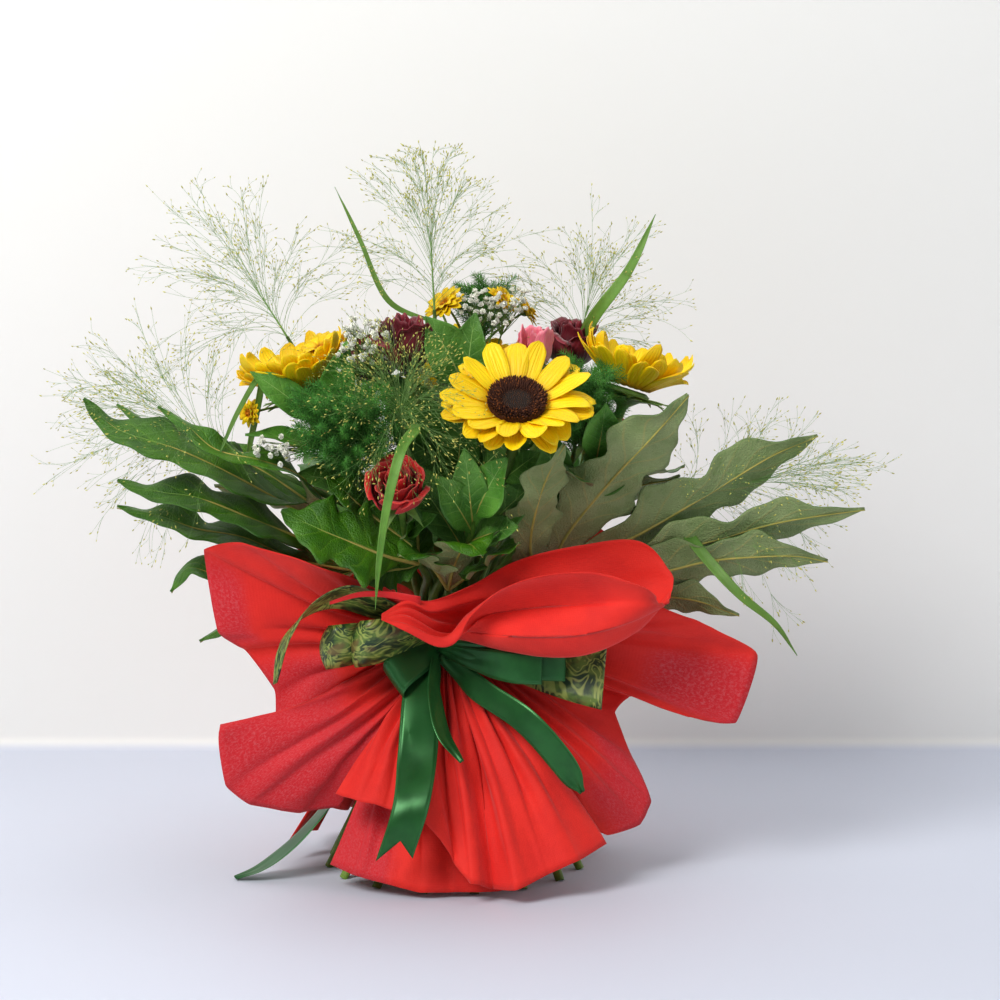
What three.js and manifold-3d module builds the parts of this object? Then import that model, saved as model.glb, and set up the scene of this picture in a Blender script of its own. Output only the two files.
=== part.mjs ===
// A mixed flower bouquet: a spiral, hand-tied bunch in a red non-woven wrap, standing on its own cut
// stems. Millimetres, +Z up. The tie's axis is X = Y = 0 while the pieces are made, and the front of
// the bouquet looks towards -Y. The finished group is moved so that its box stands centred on the origin.
import * as THREE from 'three';
import { mergeVertices } from 'three/addons/utils/BufferGeometryUtils.js';
import Module from 'manifold-3d';

const wasm = await Module();
wasm.setup();

// ---------------------------------------------------------------- driving dimensions

const TIE_HEIGHT = 165;        // the narrowest point of the bundle above the floor
const TIE_HALF_HEIGHT = 15;
const TIE_INNER_RADIUS = 26.7;
const TIE_OUTER_RADIUS = 28.1;
const STEM_RADIUS = 3.35;      // every stem is about this thick in the bundle
const STEM_SIDES = 6;
const STRAIGHT_ABOVE_TIE = 22; // a stem keeps its spiral line this far above the tie
// the spiral: each ring of stems leans one way round, the outer rings more
const STEM_RINGS = [
  { count: 1, radius: 0, lean: 0 },
  { count: 6, radius: 7.5, lean: 9 },
  { count: 12, radius: 14.0, lean: 18 },
  { count: 16, radius: 21.0, lean: 28 },
];

const NECK_RADIUS = 29.4;      // middle of the wrap's sheet where the band gathers it
const SHEET_THICKNESS = 1.2;
const BAND_INNER_RADIUS = 30.9;
const BAND_THICKNESS = 1.2;
const BAND_HALF_WIDTH = 6;
const RIBBON_THICKNESS = 0.9;
const RIBBON_SIMPLE_TO = 0.2;
const SATIN_WIDTH = 25;

const SUNFLOWER_RADIUS = 54;
const SUNFLOWER_DISC_RADIUS = 20;

const BLADE_THICKNESS = 1.2;   // petals and leaves at their middle
const CLEARANCE = 0.35;        // kept between any two pieces
const SIMPLE_TO = 0.1;         // corners that matter less than this are dropped after a join or a cut

// ---------------------------------------------------------------- colours

const COLOURS = {
  stem: [0x6f8f3a, 0.6],
  leaf: [0x2f6b22, 0.45],
  leafUnder: [0x7d8a5c, 0.6],
  grass: [0x8fa24a, 0.6],
  fern: [0x2f7a35, 0.6],
  yellow: [0xf8c400, 0.55],
  disc: [0x2c160d, 0.9],
  burgundy: [0x5c0f22, 0.55],
  red: [0xb3141d, 0.5],
  pink: [0xe0607a, 0.55],
  white: [0xf0f0e6, 0.7],
  wrap: [0xe5352b, 0.75],
  satin: [0x1f5a35, 0.3],
  printed: [0x4d6a35, 0.45],
  tie: [0x8d8a5a, 0.7],
};

// ---------------------------------------------------------------- small helpers

const UP = new THREE.Vector3(0, 0, 1);
const vec = (p) => new THREE.Vector3(p[0], p[1], p[2]);
const radians = THREE.MathUtils.degToRad;

// the same number from 0 to 1 each time for the same seed and step
function chance(seed, step) {
  const value = Math.sin(seed * 12.9898 + step * 78.233) * 43758.5453;
  return value - Math.floor(value);
}

const between = (seed, step, low, high) => low + (high - low) * chance(seed, step);

function meshOf(points, triangles) {
  const geometry = new THREE.BufferGeometry();
  geometry.setAttribute('position', new THREE.BufferAttribute(new Float32Array(points.flat()), 3));
  geometry.setIndex(triangles.flat());
  return geometry;
}

function solidOf(geometry) {
  const bare = geometry.clone();
  bare.deleteAttribute('normal');
  bare.deleteAttribute('uv');
  const merged = mergeVertices(bare, 1e-4);
  const index = merged.index.array;
  const kept = [];
  for (let i = 0; i < index.length; i += 3) {
    const [a, b, c] = [index[i], index[i + 1], index[i + 2]];
    if (a !== b && b !== c && c !== a) kept.push(a, b, c);
  }
  const mesh = new wasm.Mesh({
    numProp: 3,
    vertProperties: merged.attributes.position.array,
    triVerts: new Uint32Array(kept),
  });
  return new wasm.Manifold(mesh);
}

function geometryOf(solid) {
  const mesh = solid.getMesh();
  const geometry = new THREE.BufferGeometry();
  geometry.setAttribute('position', new THREE.BufferAttribute(mesh.vertProperties, 3));
  geometry.setIndex(new THREE.BufferAttribute(mesh.triVerts, 1));
  return geometry;
}

// a closed tube along a curve; each station is [share of the way, radius]
function tube(curve, stations, sides) {
  const points = [];
  let side = null;
  for (const [share, radius] of stations) {
    const centre = curve.getPointAt(share);
    const along = curve.getTangentAt(share);
    side ??= Math.abs(along.x) > 0.8 ? new THREE.Vector3(0, 1, 0) : new THREE.Vector3(1, 0, 0);
    side = side.clone().addScaledVector(along, -side.dot(along)).normalize();
    const other = along.clone().cross(side);
    for (let k = 0; k < sides; k++) {
      const angle = (2 * Math.PI * k) / sides;
      points.push(centre.clone()
        .addScaledVector(side, radius * Math.cos(angle))
        .addScaledVector(other, radius * Math.sin(angle)).toArray());
    }
  }
  return { points, sides, rings: stations.length };
}

// the faces of a tube's wall, two to each quad, with corners named by number
function wallFaces({ sides, rings }) {
  const faces = [];
  for (let i = 0; i < rings - 1; i++) {
    for (let k = 0; k < sides; k++) {
      const a = i * sides + k;
      const b = i * sides + ((k + 1) % sides);
      faces.push([a, b, b + sides], [a, b + sides, a + sides]);
    }
  }
  return faces;
}

function endFaces({ sides, rings }) {
  const faces = [];
  const last = (rings - 1) * sides;
  for (let k = 1; k < sides - 1; k++) faces.push([0, k + 1, k], [last, last + k, last + k + 1]);
  return faces;
}

const tubeSolid = (curve, stations, sides) => {
  const wall = tube(curve, stations, sides);
  return solidOf(meshOf(wall.points, [...wallFaces(wall), ...endFaces(wall)]));
};

// a pointed piece eight faces round: its widest place is part of the way along, lifted by bow
function kite(root, tip, facing, width, bow, widest = 0.4) {
  const side = tip.clone().sub(root).cross(facing).normalize();
  const middle = root.clone().lerp(tip, widest).addScaledVector(facing, bow);
  const points = [
    root, tip, middle.clone().addScaledVector(side, width / 2), middle.clone().addScaledVector(side,
      -width / 2),
    middle.clone().addScaledVector(facing, BLADE_THICKNESS / 2), middle.clone().addScaledVector(facing,
      -BLADE_THICKNESS / 2),
  ].map((point) => point.toArray());
  return solidOf(meshOf(points, [
    [0, 2, 4], [2, 1, 4], [1, 3, 4], [3, 0, 4], [2, 0, 5], [1, 2, 5], [3, 1, 5], [0, 3, 5],
  ]));
}

// a closed sheet: a grid of points given half a thickness to each side, alike on both faces. Edges
// where the half thickness is nothing come out sharp, and the others get a narrow wall.
function sheet(grid, halfThicknessAt) {
  const rows = grid.length;
  const columns = grid[0].length;
  const normals = grid.map((row) => row.map(() => new THREE.Vector3()));
  const faces = [];
  for (let i = 0; i < rows - 1; i++) {
    for (let j = 0; j < columns - 1; j++) {
      const corners = [[i, j], [i, j + 1], [i + 1, j + 1], [i + 1, j]];
      const flip = (i + j) % 2 === 1;
      const split = flip ? [[0, 1, 3], [1, 2, 3]] : [[0, 1, 2], [0, 2, 3]];
      for (const triple of split) {
        const ids = triple.map((k) => corners[k]);
        const [a, b, c] = ids.map(([r, s]) => grid[r][s]);
        const normal = b.clone().sub(a).cross(c.clone().sub(a));
        ids.forEach(([r, s]) => normals[r][s].add(normal));
        faces.push(ids);
      }
    }
  }
  const points = [];
  for (const side of [1, -1]) {
    for (let i = 0; i < rows; i++) {
      for (let j = 0; j < columns; j++) {
        const normal = normals[i][j].clone().normalize();
        const offset = side * halfThicknessAt(i / (rows - 1), j / (columns - 1));
        points.push(grid[i][j].clone().addScaledVector(normal, offset).toArray());
      }
    }
  }
  const id = ([r, s], side) => r * columns + s + (side ? rows * columns : 0);
  const triangles = [];
  for (const [a, b, c] of faces) {
    triangles.push([id(a, 0), id(b, 0), id(c, 0)]);
    triangles.push([id(a, 1), id(c, 1), id(b, 1)]);
  }
  const rim = [];
  for (let j = 0; j < columns - 1; j++) rim.push([0, j]);
  for (let i = 0; i < rows - 1; i++) rim.push([i, columns - 1]);
  for (let j = columns - 1; j > 0; j--) rim.push([rows - 1, j]);
  for (let i = rows - 1; i > 0; i--) rim.push([i, 0]);
  rim.forEach((a, k) => {
    const b = rim[(k + 1) % rim.length];
    triangles.push([id(a, 0), id(a, 1), id(b, 1)], [id(a, 0), id(b, 1), id(b, 0)]);
  });
  return solidOf(meshOf(points, triangles));
}

// a leaf or petal along a curve. facing is the side that its upper face looks to, widthAt gives half
// the width, cup lifts the edges, and wave(t, s) adds a height across the blade.
function blade(curve, facing, widthAt, options = {}) {
  const { stations = 5, cup = 0, thickness = BLADE_THICKNESS, wave = null, root = 0 } = options;
  const grid = [];
  for (let i = 0; i < stations; i++) {
    const t = i / (stations - 1);
    const centre = curve.getPointAt(t);
    const along = curve.getTangentAt(t);
    const side = along.clone().cross(facing).normalize();
    const normal = side.clone().cross(along).normalize();
    const half = Math.max(widthAt(t), 0);
    grid.push([-1, 0, 1].map((s) => centre.clone()
      .addScaledVector(side, -s * half)
      .addScaledVector(normal, cup * half * s * s + (wave ? wave(t, s) * Math.abs(s) : 0))));
  }
  return sheet(grid, (t, s) => {
    const middle = s === 0.5;
    const end = t === 0 ? root : (t === 1 ? 0 : 1);
    return middle ? (thickness / 2) * end : 0;
  });
}

// the faces between a middle line and the outline round it: the outline goes from one root corner
// over the tip to the other, and the middle line from the root towards the tip
function spineFaces(spine, outline) {
  const faces = [];
  const last = outline.length - 1;
  spine.forEach((corner, i) => {
    if (i > 0) faces.push([spine[i - 1], outline[i], corner], [outline[last - i], spine[i - 1], corner]);
    faces.push([corner, outline[i], outline[i + 1]], [corner, outline[last - i - 1], outline[last - i]]);
  });
  return faces;
}

const turned = (faces) => faces.map(([a, b, c]) => [a, c, b]);

// a closed body from rings of corners, each ring round the same axis, with a point at either end
function ringed(topPoint, rings, bottomPoint) {
  const count = rings[0].length;
  const points = [topPoint, bottomPoint, ...rings.flat()];
  const at = (ring, k) => 2 + ring * count + (k % count);
  const triangles = [];
  for (let k = 0; k < count; k++) {
    triangles.push([0, at(0, k), at(0, k + 1)], [1, at(rings.length - 1, k + 1), at(rings.length - 1, k)]);
    for (let i = 0; i < rings.length - 1; i++) {
      triangles.push([at(i, k), at(i + 1, k), at(i + 1, k + 1)], [at(i, k), at(i + 1, k + 1), at(i,
        k + 1)]);
    }
  }
  return solidOf(meshOf(points.map((point) => point.toArray()), triangles));
}

// rows of hand-set points made into a smooth grid
function smoothGrid(net, rows, columns) {
  const across = net.map((row) => new THREE.CatmullRomCurve3(row.map(vec), false, 'centripetal'));
  const grid = [];
  for (let i = 0; i < rows; i++) grid.push([]);
  for (let j = 0; j < columns; j++) {
    const knots = across.map((curve) => curve.getPoint(j / (columns - 1)));
    const line = new THREE.CatmullRomCurve3(knots, false, 'centripetal');
    for (let i = 0; i < rows; i++) grid[i].push(line.getPoint(i / (rows - 1)));
  }
  return grid;
}

const unionOf = (solids) => wasm.Manifold.union(solids);

const boxSolid = (box) => solidOf(new THREE.BoxGeometry(
  box.max[0] - box.min[0], box.max[1] - box.min[1], box.max[2] - box.min[2],
).translate(
  (box.max[0] + box.min[0]) / 2, (box.max[1] + box.min[1]) / 2, (box.max[2] + box.min[2]) / 2,
));

// the stretch of a solid that lies in a box, grown by a gap to every side
function grownInside(solid, box, gap) {
  const wide = { min: box.min.map((v) => v - 2), max: box.max.map((v) => v + 2) };
  const bit = solidOf(new THREE.OctahedronGeometry(gap * 1.75, 0));
  return solid.intersect(boxSolid(wide)).minkowskiSum(bit);
}

// the largest single body of a solid, with no scrap, no sealed hollow and no needless corners
function mainBody(solid, tolerance = SIMPLE_TO) {
  const largest = (list) => list.reduce((best, body) => (body.volume() > best.volume() ? body : best));
  return largest(largest(solid.decompose()).simplify(tolerance).decompose());
}

// ---------------------------------------------------------------- keeping the pieces clear

const placed = []; // { name, solid, box, colour }

const boxesMeet = (a, b, gap) => [0, 1, 2].every((k) =>
  a.min[k] - gap < b.max[k] && b.min[k] - gap < a.max[k]);

function isClear(solid, own, gap = CLEARANCE) {
  const box = solid.boundingBox();
  return placed.every((other) => other.name === own || !boxesMeet(box, other.box, gap)
    || solid.minGap(other.solid, gap * 2) >= gap);
}

function carvedClear(solid, own) {
  let result = solid;
  for (const other of placed) {
    if (other.name === own || !boxesMeet(result.boundingBox(), other.box, CLEARANCE)) continue;
    if (result.minGap(other.solid, CLEARANCE * 2) >= CLEARANCE) continue;
    result = result.subtract(grownInside(other.solid, result.boundingBox(), CLEARANCE));
  }
  return result;
}

function put(name, solid, colour) {
  const existing = placed.find((item) => item.name === name);
  if (existing) {
    existing.solid = solid;
    existing.box = solid.boundingBox();
    existing.colour = colour;
    return existing;
  }
  const item = { name, solid, box: solid.boundingBox(), colour };
  placed.push(item);
  return item;
}

// a part of a piece, cut clear of the other pieces
const clearPart = (solid, own) => mainBody(carvedClear(solid, own));

// a large piece: cut clear of what is there and kept as one body
const putCarved = (name, solid, colour, tolerance) => put(name, mainBody(carvedClear(solid, name),
  tolerance), colour);

// a piece that grows from a stem: its small parts are left out where they would touch another piece
function growOn(name, base, parts, colour) {
  const kept = parts.filter((part) => isClear(part, name));
  return put(name, mainBody(unionOf([base, ...kept])), colour);
}

// ---------------------------------------------------------------- heads and their stems

// at is where the stem ends, growth the way it points there, thin its radius at the top
const HEADS = {
  panicle_top: { ring: 0, at: [-14, 0, 392], growth: [-0.05, 0, 1], thin: 1.3, kind: 'grass' },

  spray_yellow_top: { ring: 1, at: [8, 22, 372], growth: [0.1, 0.1, 1], thin: 1.8 },
  gypsophila_top: { ring: 1, at: [22, 10, 362], growth: [0.1, -0.05, 1], thin: 1.4 },
  fern_top: { ring: 1, at: [20, 40, 372], growth: [0.05, 0.1, 1], thin: 1.5, kind: 'fern' },
  sprig_centre: { ring: 1, at: [8, -40, 340], growth: [0, -0.3, 1], thin: 1.8 },
  rose_burgundy_left: { ring: 1, at: [-28, -42, 350], growth: [-0.15, -0.25, 1], thin: 2.8 },
  pink_bloom: { ring: 1, at: [52, -16, 347], growth: [0.1, -0.2, 1], thin: 2.6 },

  rose_burgundy_right: { ring: 2, at: [76, 24, 348], growth: [0.3, -0.15, 1], thin: 2.8 },
  panicle_top_right: { ring: 2, at: [86, 40, 362], growth: [0.25, 0.05, 1], thin: 1.3, kind: 'grass' },
  spray_yellow_left: { ring: 2, at: [-84, 2, 335], growth: [-0.45, -0.2, 1], thin: 1.8 },
  gypsophila_left: { ring: 2, at: [-66, -38, 335], growth: [-0.2, -0.4, 1], thin: 1.4 },
  rose_burgundy_back: { ring: 2, at: [-54, 60, 336], growth: [-0.35, 0.4, 0.9], thin: 2.8 },
  sprig_left: { ring: 2, at: [-92, -48, 318], growth: [-0.5, -0.3, 0.8], thin: 1.8 },
  fern_right: { ring: 2, at: [82, -52, 300], growth: [0.1, -0.2, 1], thin: 1.5, kind: 'fern' },
  sunflower_back: { ring: 2, at: [6, 92, 318], growth: [0, 0.7, 0.75], thin: 3.6 },
  sunflower_left: { ring: 2, at: [-101, -24, 328], growth: [-0.3, -0.05, 0.95], thin: 3.6 },
  panicle_left_high: { ring: 2, at: [-118, 20, 372], growth: [-0.6, 0, 1], thin: 1.3, kind: 'grass' },
  panicle_centre: { ring: 2, at: [-34, -84, 322], growth: [-0.05, -0.4, 1], thin: 1.3, kind: 'grass' },
  fern_left: { ring: 2, at: [-66, -70, 284], growth: [-0.15, -0.45, 0.9], thin: 1.5, kind: 'fern' },

  sunflower_right: { ring: 3, at: [116, -22, 328], growth: [0.3, 0.05, 0.95], thin: 3.6 },
  fern_back: { ring: 3, at: [-76, 88, 280], growth: [-0.3, 0.4, 1], thin: 1.5, kind: 'fern' },
  sunflower_front: { ring: 3, at: [42, -96, 323], growth: [0.03, -0.62, 0.78], thin: 3.6 },
  rose_red_back: { ring: 3, at: [92, 72, 292], growth: [0.5, 0.45, 0.8], thin: 2.8 },
  sprig_right: { ring: 3, at: [96, -58, 290], growth: [0.1, -0.2, 1], thin: 1.8 },
  sprig_low: { ring: 3, at: [14, -76, 255], growth: [0.1, -0.4, 1], thin: 1.8 },
  rose_red_front: { ring: 3, at: [-35, -92, 268], growth: [-0.1, -0.7, 0.72], thin: 2.8 },
  panicle_left: { ring: 3, at: [-152, -46, 300], growth: [-0.9, -0.1, 0.55], thin: 1.3, kind: 'grass' },
  panicle_right: { ring: 3, at: [158, -14, 262], growth: [1, -0.1, 0.3], thin: 1.3, kind: 'grass' },
  leaf_right: { ring: 3, at: [60, -44, 200], growth: [0.85, -0.25, 0.45], thin: 2.6 },
  leaf_left_high: { ring: 3, at: [-72, -24, 236], growth: [-0.85, -0.1, 0.5], thin: 2.6 },
  leaf_left_low: { ring: 3, at: [-69, -14, 212], growth: [-0.95, 0, 0.3], thin: 2.6 },
  leaf_front_left: { ring: 3, at: [-24, -56, 222], growth: [-0.5, -0.6, 0.6], thin: 2.6 },
  leaf_front: { ring: 3, at: [-4, -52, 204], growth: [0.1, -0.6, 0.8], thin: 2.6 },
  leaf_back_left: { ring: 3, at: [-58, 52, 222], growth: [-0.6, 0.6, 0.5], thin: 2.6 },
  leaf_back_right: { ring: 3, at: [54, 58, 222], growth: [0.6, 0.6, 0.5], thin: 2.6 },
};

// each ring's stems take its slots in the order of the heads they carry, turned back by the spiral
function stemSlots(ring) {
  const members = Object.entries(HEADS).filter(([, head]) => head.ring === ring);
  const { count, radius, lean } = STEM_RINGS[ring];
  const wanted = members.map(([name, head]) => {
    const rise = head.at[2] - TIE_HEIGHT;
    const turn = Math.atan2(rise * Math.tan(radians(lean)), Math.max(radius, 1));
    return { name, angle: Math.atan2(head.at[1], head.at[0]) - Math.min(turn, radians(75)) };
  });
  wanted.sort((a, b) => a.angle - b.angle);
  const step = (2 * Math.PI) / count;
  const start = wanted.reduce((sum, item, i) => sum + item.angle - i * step, 0) / wanted.length;
  return Object.fromEntries(wanted.map((item, i) => [item.name, start + i * step]));
}

function stemCurve(head, slot) {
  const { radius, lean } = STEM_RINGS[head.ring];
  const tilt = radians(lean);
  const middle = new THREE.Vector3(radius * Math.cos(slot), radius * Math.sin(slot), TIE_HEIGHT);
  const line = new THREE.Vector3(-Math.sin(slot) * Math.sin(tilt), Math.cos(slot) * Math.sin(tilt),
    Math.cos(tilt));
  const below = (TIE_HEIGHT + 6) / line.z;
  const foot = middle.clone().addScaledVector(line, -below);
  const start = middle.clone().addScaledVector(line, STRAIGHT_ABOVE_TIE / line.z);
  const end = vec(head.at);
  const arrive = vec(head.growth).normalize();
  const reach = start.distanceTo(end) * 0.38;
  const path = new THREE.CurvePath();
  path.add(new THREE.LineCurve3(foot, start));
  path.add(new THREE.CubicBezierCurve3(
    start,
    start.clone().addScaledVector(line, reach),
    end.clone().addScaledVector(arrive, -reach),
    end,
  ));
  return path;
}

// one straight stretch through the tie, then a bend in three steps up to the head
function stemSolid(head, slot) {
  const path = stemCurve(head, slot);
  const [line, bend] = path.curves;
  const straight = line.getLength() / (line.getLength() + bend.getLength());
  const steps = head.ring === 0 ? 1 : 3;
  const stations = [[0, STEM_RADIUS]];
  for (let i = 0; i <= steps; i++) {
    const share = i / steps;
    stations.push([straight + (1 - straight) * share, STEM_RADIUS + (head.thin - STEM_RADIUS) * share]);
  }
  return tubeSolid(path, stations, STEM_SIDES).trimByPlane([0, 0, 1], 0);
}

// what goes straight on from a stem's head: length and thickness at its root
const CORES = {
  panicle_top: [58, 1.2], panicle_top_right: [34, 1.2], panicle_left_high: [44, 1.2],
  panicle_left: [46, 1.2], panicle_centre: [14, 1.2], panicle_right: [62, 1.2],
  fern_left: [62, 1.5], fern_top: [34, 1.5], fern_right: [56, 1.5], fern_back: [56, 1.5],
};

function coreCurve(name) {
  const { at, growth } = HEADS[name];
  const way = vec(growth).normalize();
  const base = vec(at);
  const [length] = CORES[name];
  return new THREE.QuadraticBezierCurve3(
    base.clone().addScaledVector(way, -4),
    base.clone().addScaledVector(way, length * 0.55),
    base.clone().addScaledVector(way, length).addScaledVector(UP, -length * 0.06),
  );
}

const stems = {};
const slots = {};
for (let ring = 0; ring < STEM_RINGS.length; ring++) {
  Object.assign(slots, stemSlots(ring));
}
for (const [name, head] of Object.entries(HEADS)) {
  stems[name] = stemSolid(head, slots[name]);
  if (CORES[name]) {
    const thick = CORES[name][1];
    stems[name] = unionOf([stems[name], tubeSolid(coreCurve(name), [[0, thick], [1, 0.5]], 3)]);
  }
  put(name, stems[name], head.kind === 'grass' ? 'grass' : 'stem');
}

// ---------------------------------------------------------------- blooms

// a frame whose Z is the way a bloom looks and whose X points as far up as it can
function bloomMatrix(head, along = 0) {
  const z = vec(head.growth).normalize();
  const x = UP.clone().addScaledVector(z, -UP.dot(z));
  if (x.length() < 0.05) x.set(0, 1, 0);
  x.normalize();
  const y = z.clone().cross(x);
  const place = vec(head.at).addScaledVector(z, along);
  return new THREE.Matrix4().makeBasis(x, y, z).setPosition(place);
}

const moved = (solid, matrix) => solid.transform(matrix.elements);
const cylindrical = (radius, angle, height) => new THREE.Vector3(radius * Math.cos(angle),
  radius * Math.sin(angle), height);
const lathe = (profile, sides) => solidOf(new THREE.LatheGeometry(
  profile.map(([r, h]) => new THREE.Vector2(r, h)), sides,
).rotateX(Math.PI / 2));

// value at t of a profile given at even steps
function profileAt(values, t) {
  const place = THREE.MathUtils.clamp(t, 0, 1) * (values.length - 1);
  const low = Math.min(Math.floor(place), values.length - 2);
  return values[low] + (values[low + 1] - values[low]) * (place - low);
}

const PETAL_ROOT = 17.4; // a sunflower's petals part from each other at this radius
const PETAL_LEVELS = [14.3, 12.5];

// both layers of a sunflower's petals as one body round an open middle. Every petal has a middle line
// with half its thickness to each side and sharp edges. Petals below the disc hang, those above stand.
function petalRing(count, seed, closed) {
  const step = (2 * Math.PI) / count;
  const half = BLADE_THICKNESS / 2;
  const points = [];
  const triangles = [];
  const add = (radius, angle, height) => points.push(cylindrical(radius, angle, height).toArray()) - 1;
  const ring = (radius, height, shift) => Array.from({ length: count }, (_, k) => add(radius,
    step * (k + shift), height));
  const top = ring(12, PETAL_LEVELS[0] + half, 0);
  const bottom = ring(12, PETAL_LEVELS[1] - half, 0.5);
  const between0 = ring(14, 13.4, 0);
  const between1 = ring(14, 13.4, 0.5);
  const valleys = [ring(PETAL_ROOT, PETAL_LEVELS[0], -0.5), ring(PETAL_ROOT, PETAL_LEVELS[1], 0)];
  const roots = [[top, between0], [between1, bottom]];

  for (let layer = 0; layer < 2; layer++) {
    for (let k = 0; k < count; k++) {
      const toss = (n, low, high) => between(seed + layer * 7, k + n, low, high);
      const angle = step * (k + layer * 0.5);
      const turn = angle + toss(0, -0.08, 0.08);
      const upward = Math.cos(angle);
      const reach = SUNFLOWER_RADIUS * toss(40, 0.92, 1) - PETAL_ROOT;
      const lift = radians(closed + (layer === 0 ? 20 : 6) + (upward > 0 ? 7 : -10) * upward);
      const droop = Math.max(0, -upward) * (layer === 0 ? 1 : 4) + toss(80, 0,
        2.5) * (layer === 0 ? -1 : 1);
      const width = toss(160, 6.8, 8);
      const heightAt = (t) =>
        PETAL_LEVELS[layer] + reach * t * Math.sin(lift) + 6 * t * (1 - t) - droop * t * t;
      const radiusAt = (t) => PETAL_ROOT + reach * t * Math.cos(lift * t);
      const edge = (t, side) => add(radiusAt(t), turn + (side * width) / radiusAt(t),
        heightAt(t) + toss(200 + t * 90, 0.2, 1.4));
      const spots = layer === 0 ? [0.3, 0.68] : [0.5];
      const outline = [
        valleys[layer][k], ...spots.map((t) => edge(t, -1)), add(radiusAt(1), turn, heightAt(1)),
        ...spots.toReversed().map((t) => edge(t, 1)), valleys[layer][(k + 1) % count],
      ];
      const [over, under] = [1, -1].map((side, face) => (
        [roots[layer][face][k], ...spots.map((t) => add(radiusAt(t), turn, heightAt(t) + side * half))]));
      triangles.push(...spineFaces(over, outline), ...turned(spineFaces(under, outline)));
    }
  }
  for (let k = 0; k < count; k++) {
    const next = (k + 1) % count;
    const [frontValley, backValley] = [valleys[0][next], valleys[1][next]];
    triangles.push([top[k], frontValley, top[next]], [frontValley, between0[k], between1[k]]);
    triangles.push([frontValley, between1[k], between0[next]], [backValley, between0[next], between1[k]]);
    triangles.push([backValley, between1[next], between0[next]], [bottom[k], bottom[next], backValley]);
    triangles.push([top[k], top[next], bottom[k]], [top[next], bottom[next], bottom[k]]);
  }
  return solidOf(meshOf(points, triangles));
}

// the disc's florets as relief: a raised ring of bumps round a lower middle
function sunflowerDisc() {
  const sectors = 12;
  const rings = [
    [6, 20.5], [11, 21.5], [15.5, 23.3], [SUNFLOWER_DISC_RADIUS - 0.6, 21.7],
      [SUNFLOWER_DISC_RADIUS - 0.4, 18.5],
  ];
  const points = [[0, 0, 19.9]];
  rings.forEach(([radius, height], i) => {
    for (let k = 0; k < sectors; k++) {
      const angle = (2 * Math.PI * (k + (i % 2) * 0.5)) / sectors;
      const bump = i > 0 && i < 4 ? ((k + i) % 2) * 1.5 : 0;
      points.push(cylindrical(radius + bump * 0.4, angle, height + bump).toArray());
    }
  });
  const triangles = [];
  const at = (ring, k) => 1 + ring * sectors + (k % sectors);
  for (let k = 0; k < sectors; k++) triangles.push([0, at(0, k), at(0, k + 1)]);
  for (let i = 0; i < rings.length - 1; i++) {
    for (let k = 0; k < sectors; k++) {
      const shift = i % 2;
      triangles.push([at(i, k), at(i + 1, k + shift), at(i, k + 1)]);
      triangles.push([at(i, k + 1), at(i + 1, k + shift), at(i + 1, k + 1 + shift)]);
    }
  }
  const base = points.length;
  points.push([0, 0, 14.3]);
  for (let k = 0; k < sectors; k++) triangles.push([base, at(rings.length - 1, k + 1),
    at(rings.length - 1, k)]);
  return solidOf(meshOf(points, triangles));
}

// closed tells how many degrees further its petals stand up than in a full open flower
function sunflower(name, seed, count, closed) {
  const head = HEADS[name];
  const matrix = bloomMatrix(head);
  const cup = lathe([[0, -3], [4.5, -1], [16.5, 9], [14.5, 11.2], [0, 11.2]], 8);
  const bracts = [];
  for (let k = 0; k < 7; k++) {
    const angle = (2 * Math.PI * k) / 7 + 0.2;
    const tip = cylindrical(31, angle, between(seed, k, 4, 9));
    bracts.push(moved(kite(cylindrical(11, angle, 5), tip, UP, 11, -2), matrix));
  }
  growOn(name, unionOf([stems[name], moved(cup, matrix)]), bracts, 'stem');

  putCarved(`${name}_petals`, moved(petalRing(count, seed, closed), matrix), 'yellow');
  const narrow = closed > 10 ? 0.87 : 1;
  put(`${name}_disc`, moved(sunflowerDisc().scale([narrow, narrow, 1]), matrix), 'disc');
}

// a layered bloom: rings of petal edges with deep grooves between them. Each ring is [radius, height,
// petals in that layer or 0 for a groove or the outside]
function layeredBloom(rings, top, bottom, sectors, seed) {
  const shaped = rings.map(([radius, height, petals], i) => Array.from({ length: sectors }, (_, k) => {
    const angle = (2 * Math.PI * k) / sectors;
    const layer = petals || (rings[i - 1]?.[2] ?? 0) || (rings[i + 1]?.[2] ?? 0);
    if (layer === 0) return cylindrical(radius, angle, height);
    const place = (layer * (angle / (2 * Math.PI) + between(seed, i, 0,
      1) * (petals ? 1 : 0) + 0.13 * seed)) % 1;
    const overlap = petals ? (place - 0.5) * 0.16 : 0;
    const scallop = petals ? 3.2 * Math.sin(Math.PI * place) - 1.6 : 0;
    return cylindrical(radius * (1 + overlap), angle, height + scallop);
  }));
  return ringed(new THREE.Vector3(0, 0, top), shaped, new THREE.Vector3(0, 0, bottom));
}

const ROSE_RINGS = [
  [3, 33, 2], [4.6, 25, 0], [8.2, 34, 3], [9.8, 22, 0], [14.2, 33, 4], [16, 19, 0], [23, 28, 5], [20,
    16, 0], [11.5, 5, 0],
];
const PINK_RINGS = [[5, 34, 2], [6.6, 20, 0], [10.4, 35, 3], [12, 20, 0], [15, 37, 3], [15, 18, 0], [9,
  5, 0]];

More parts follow.
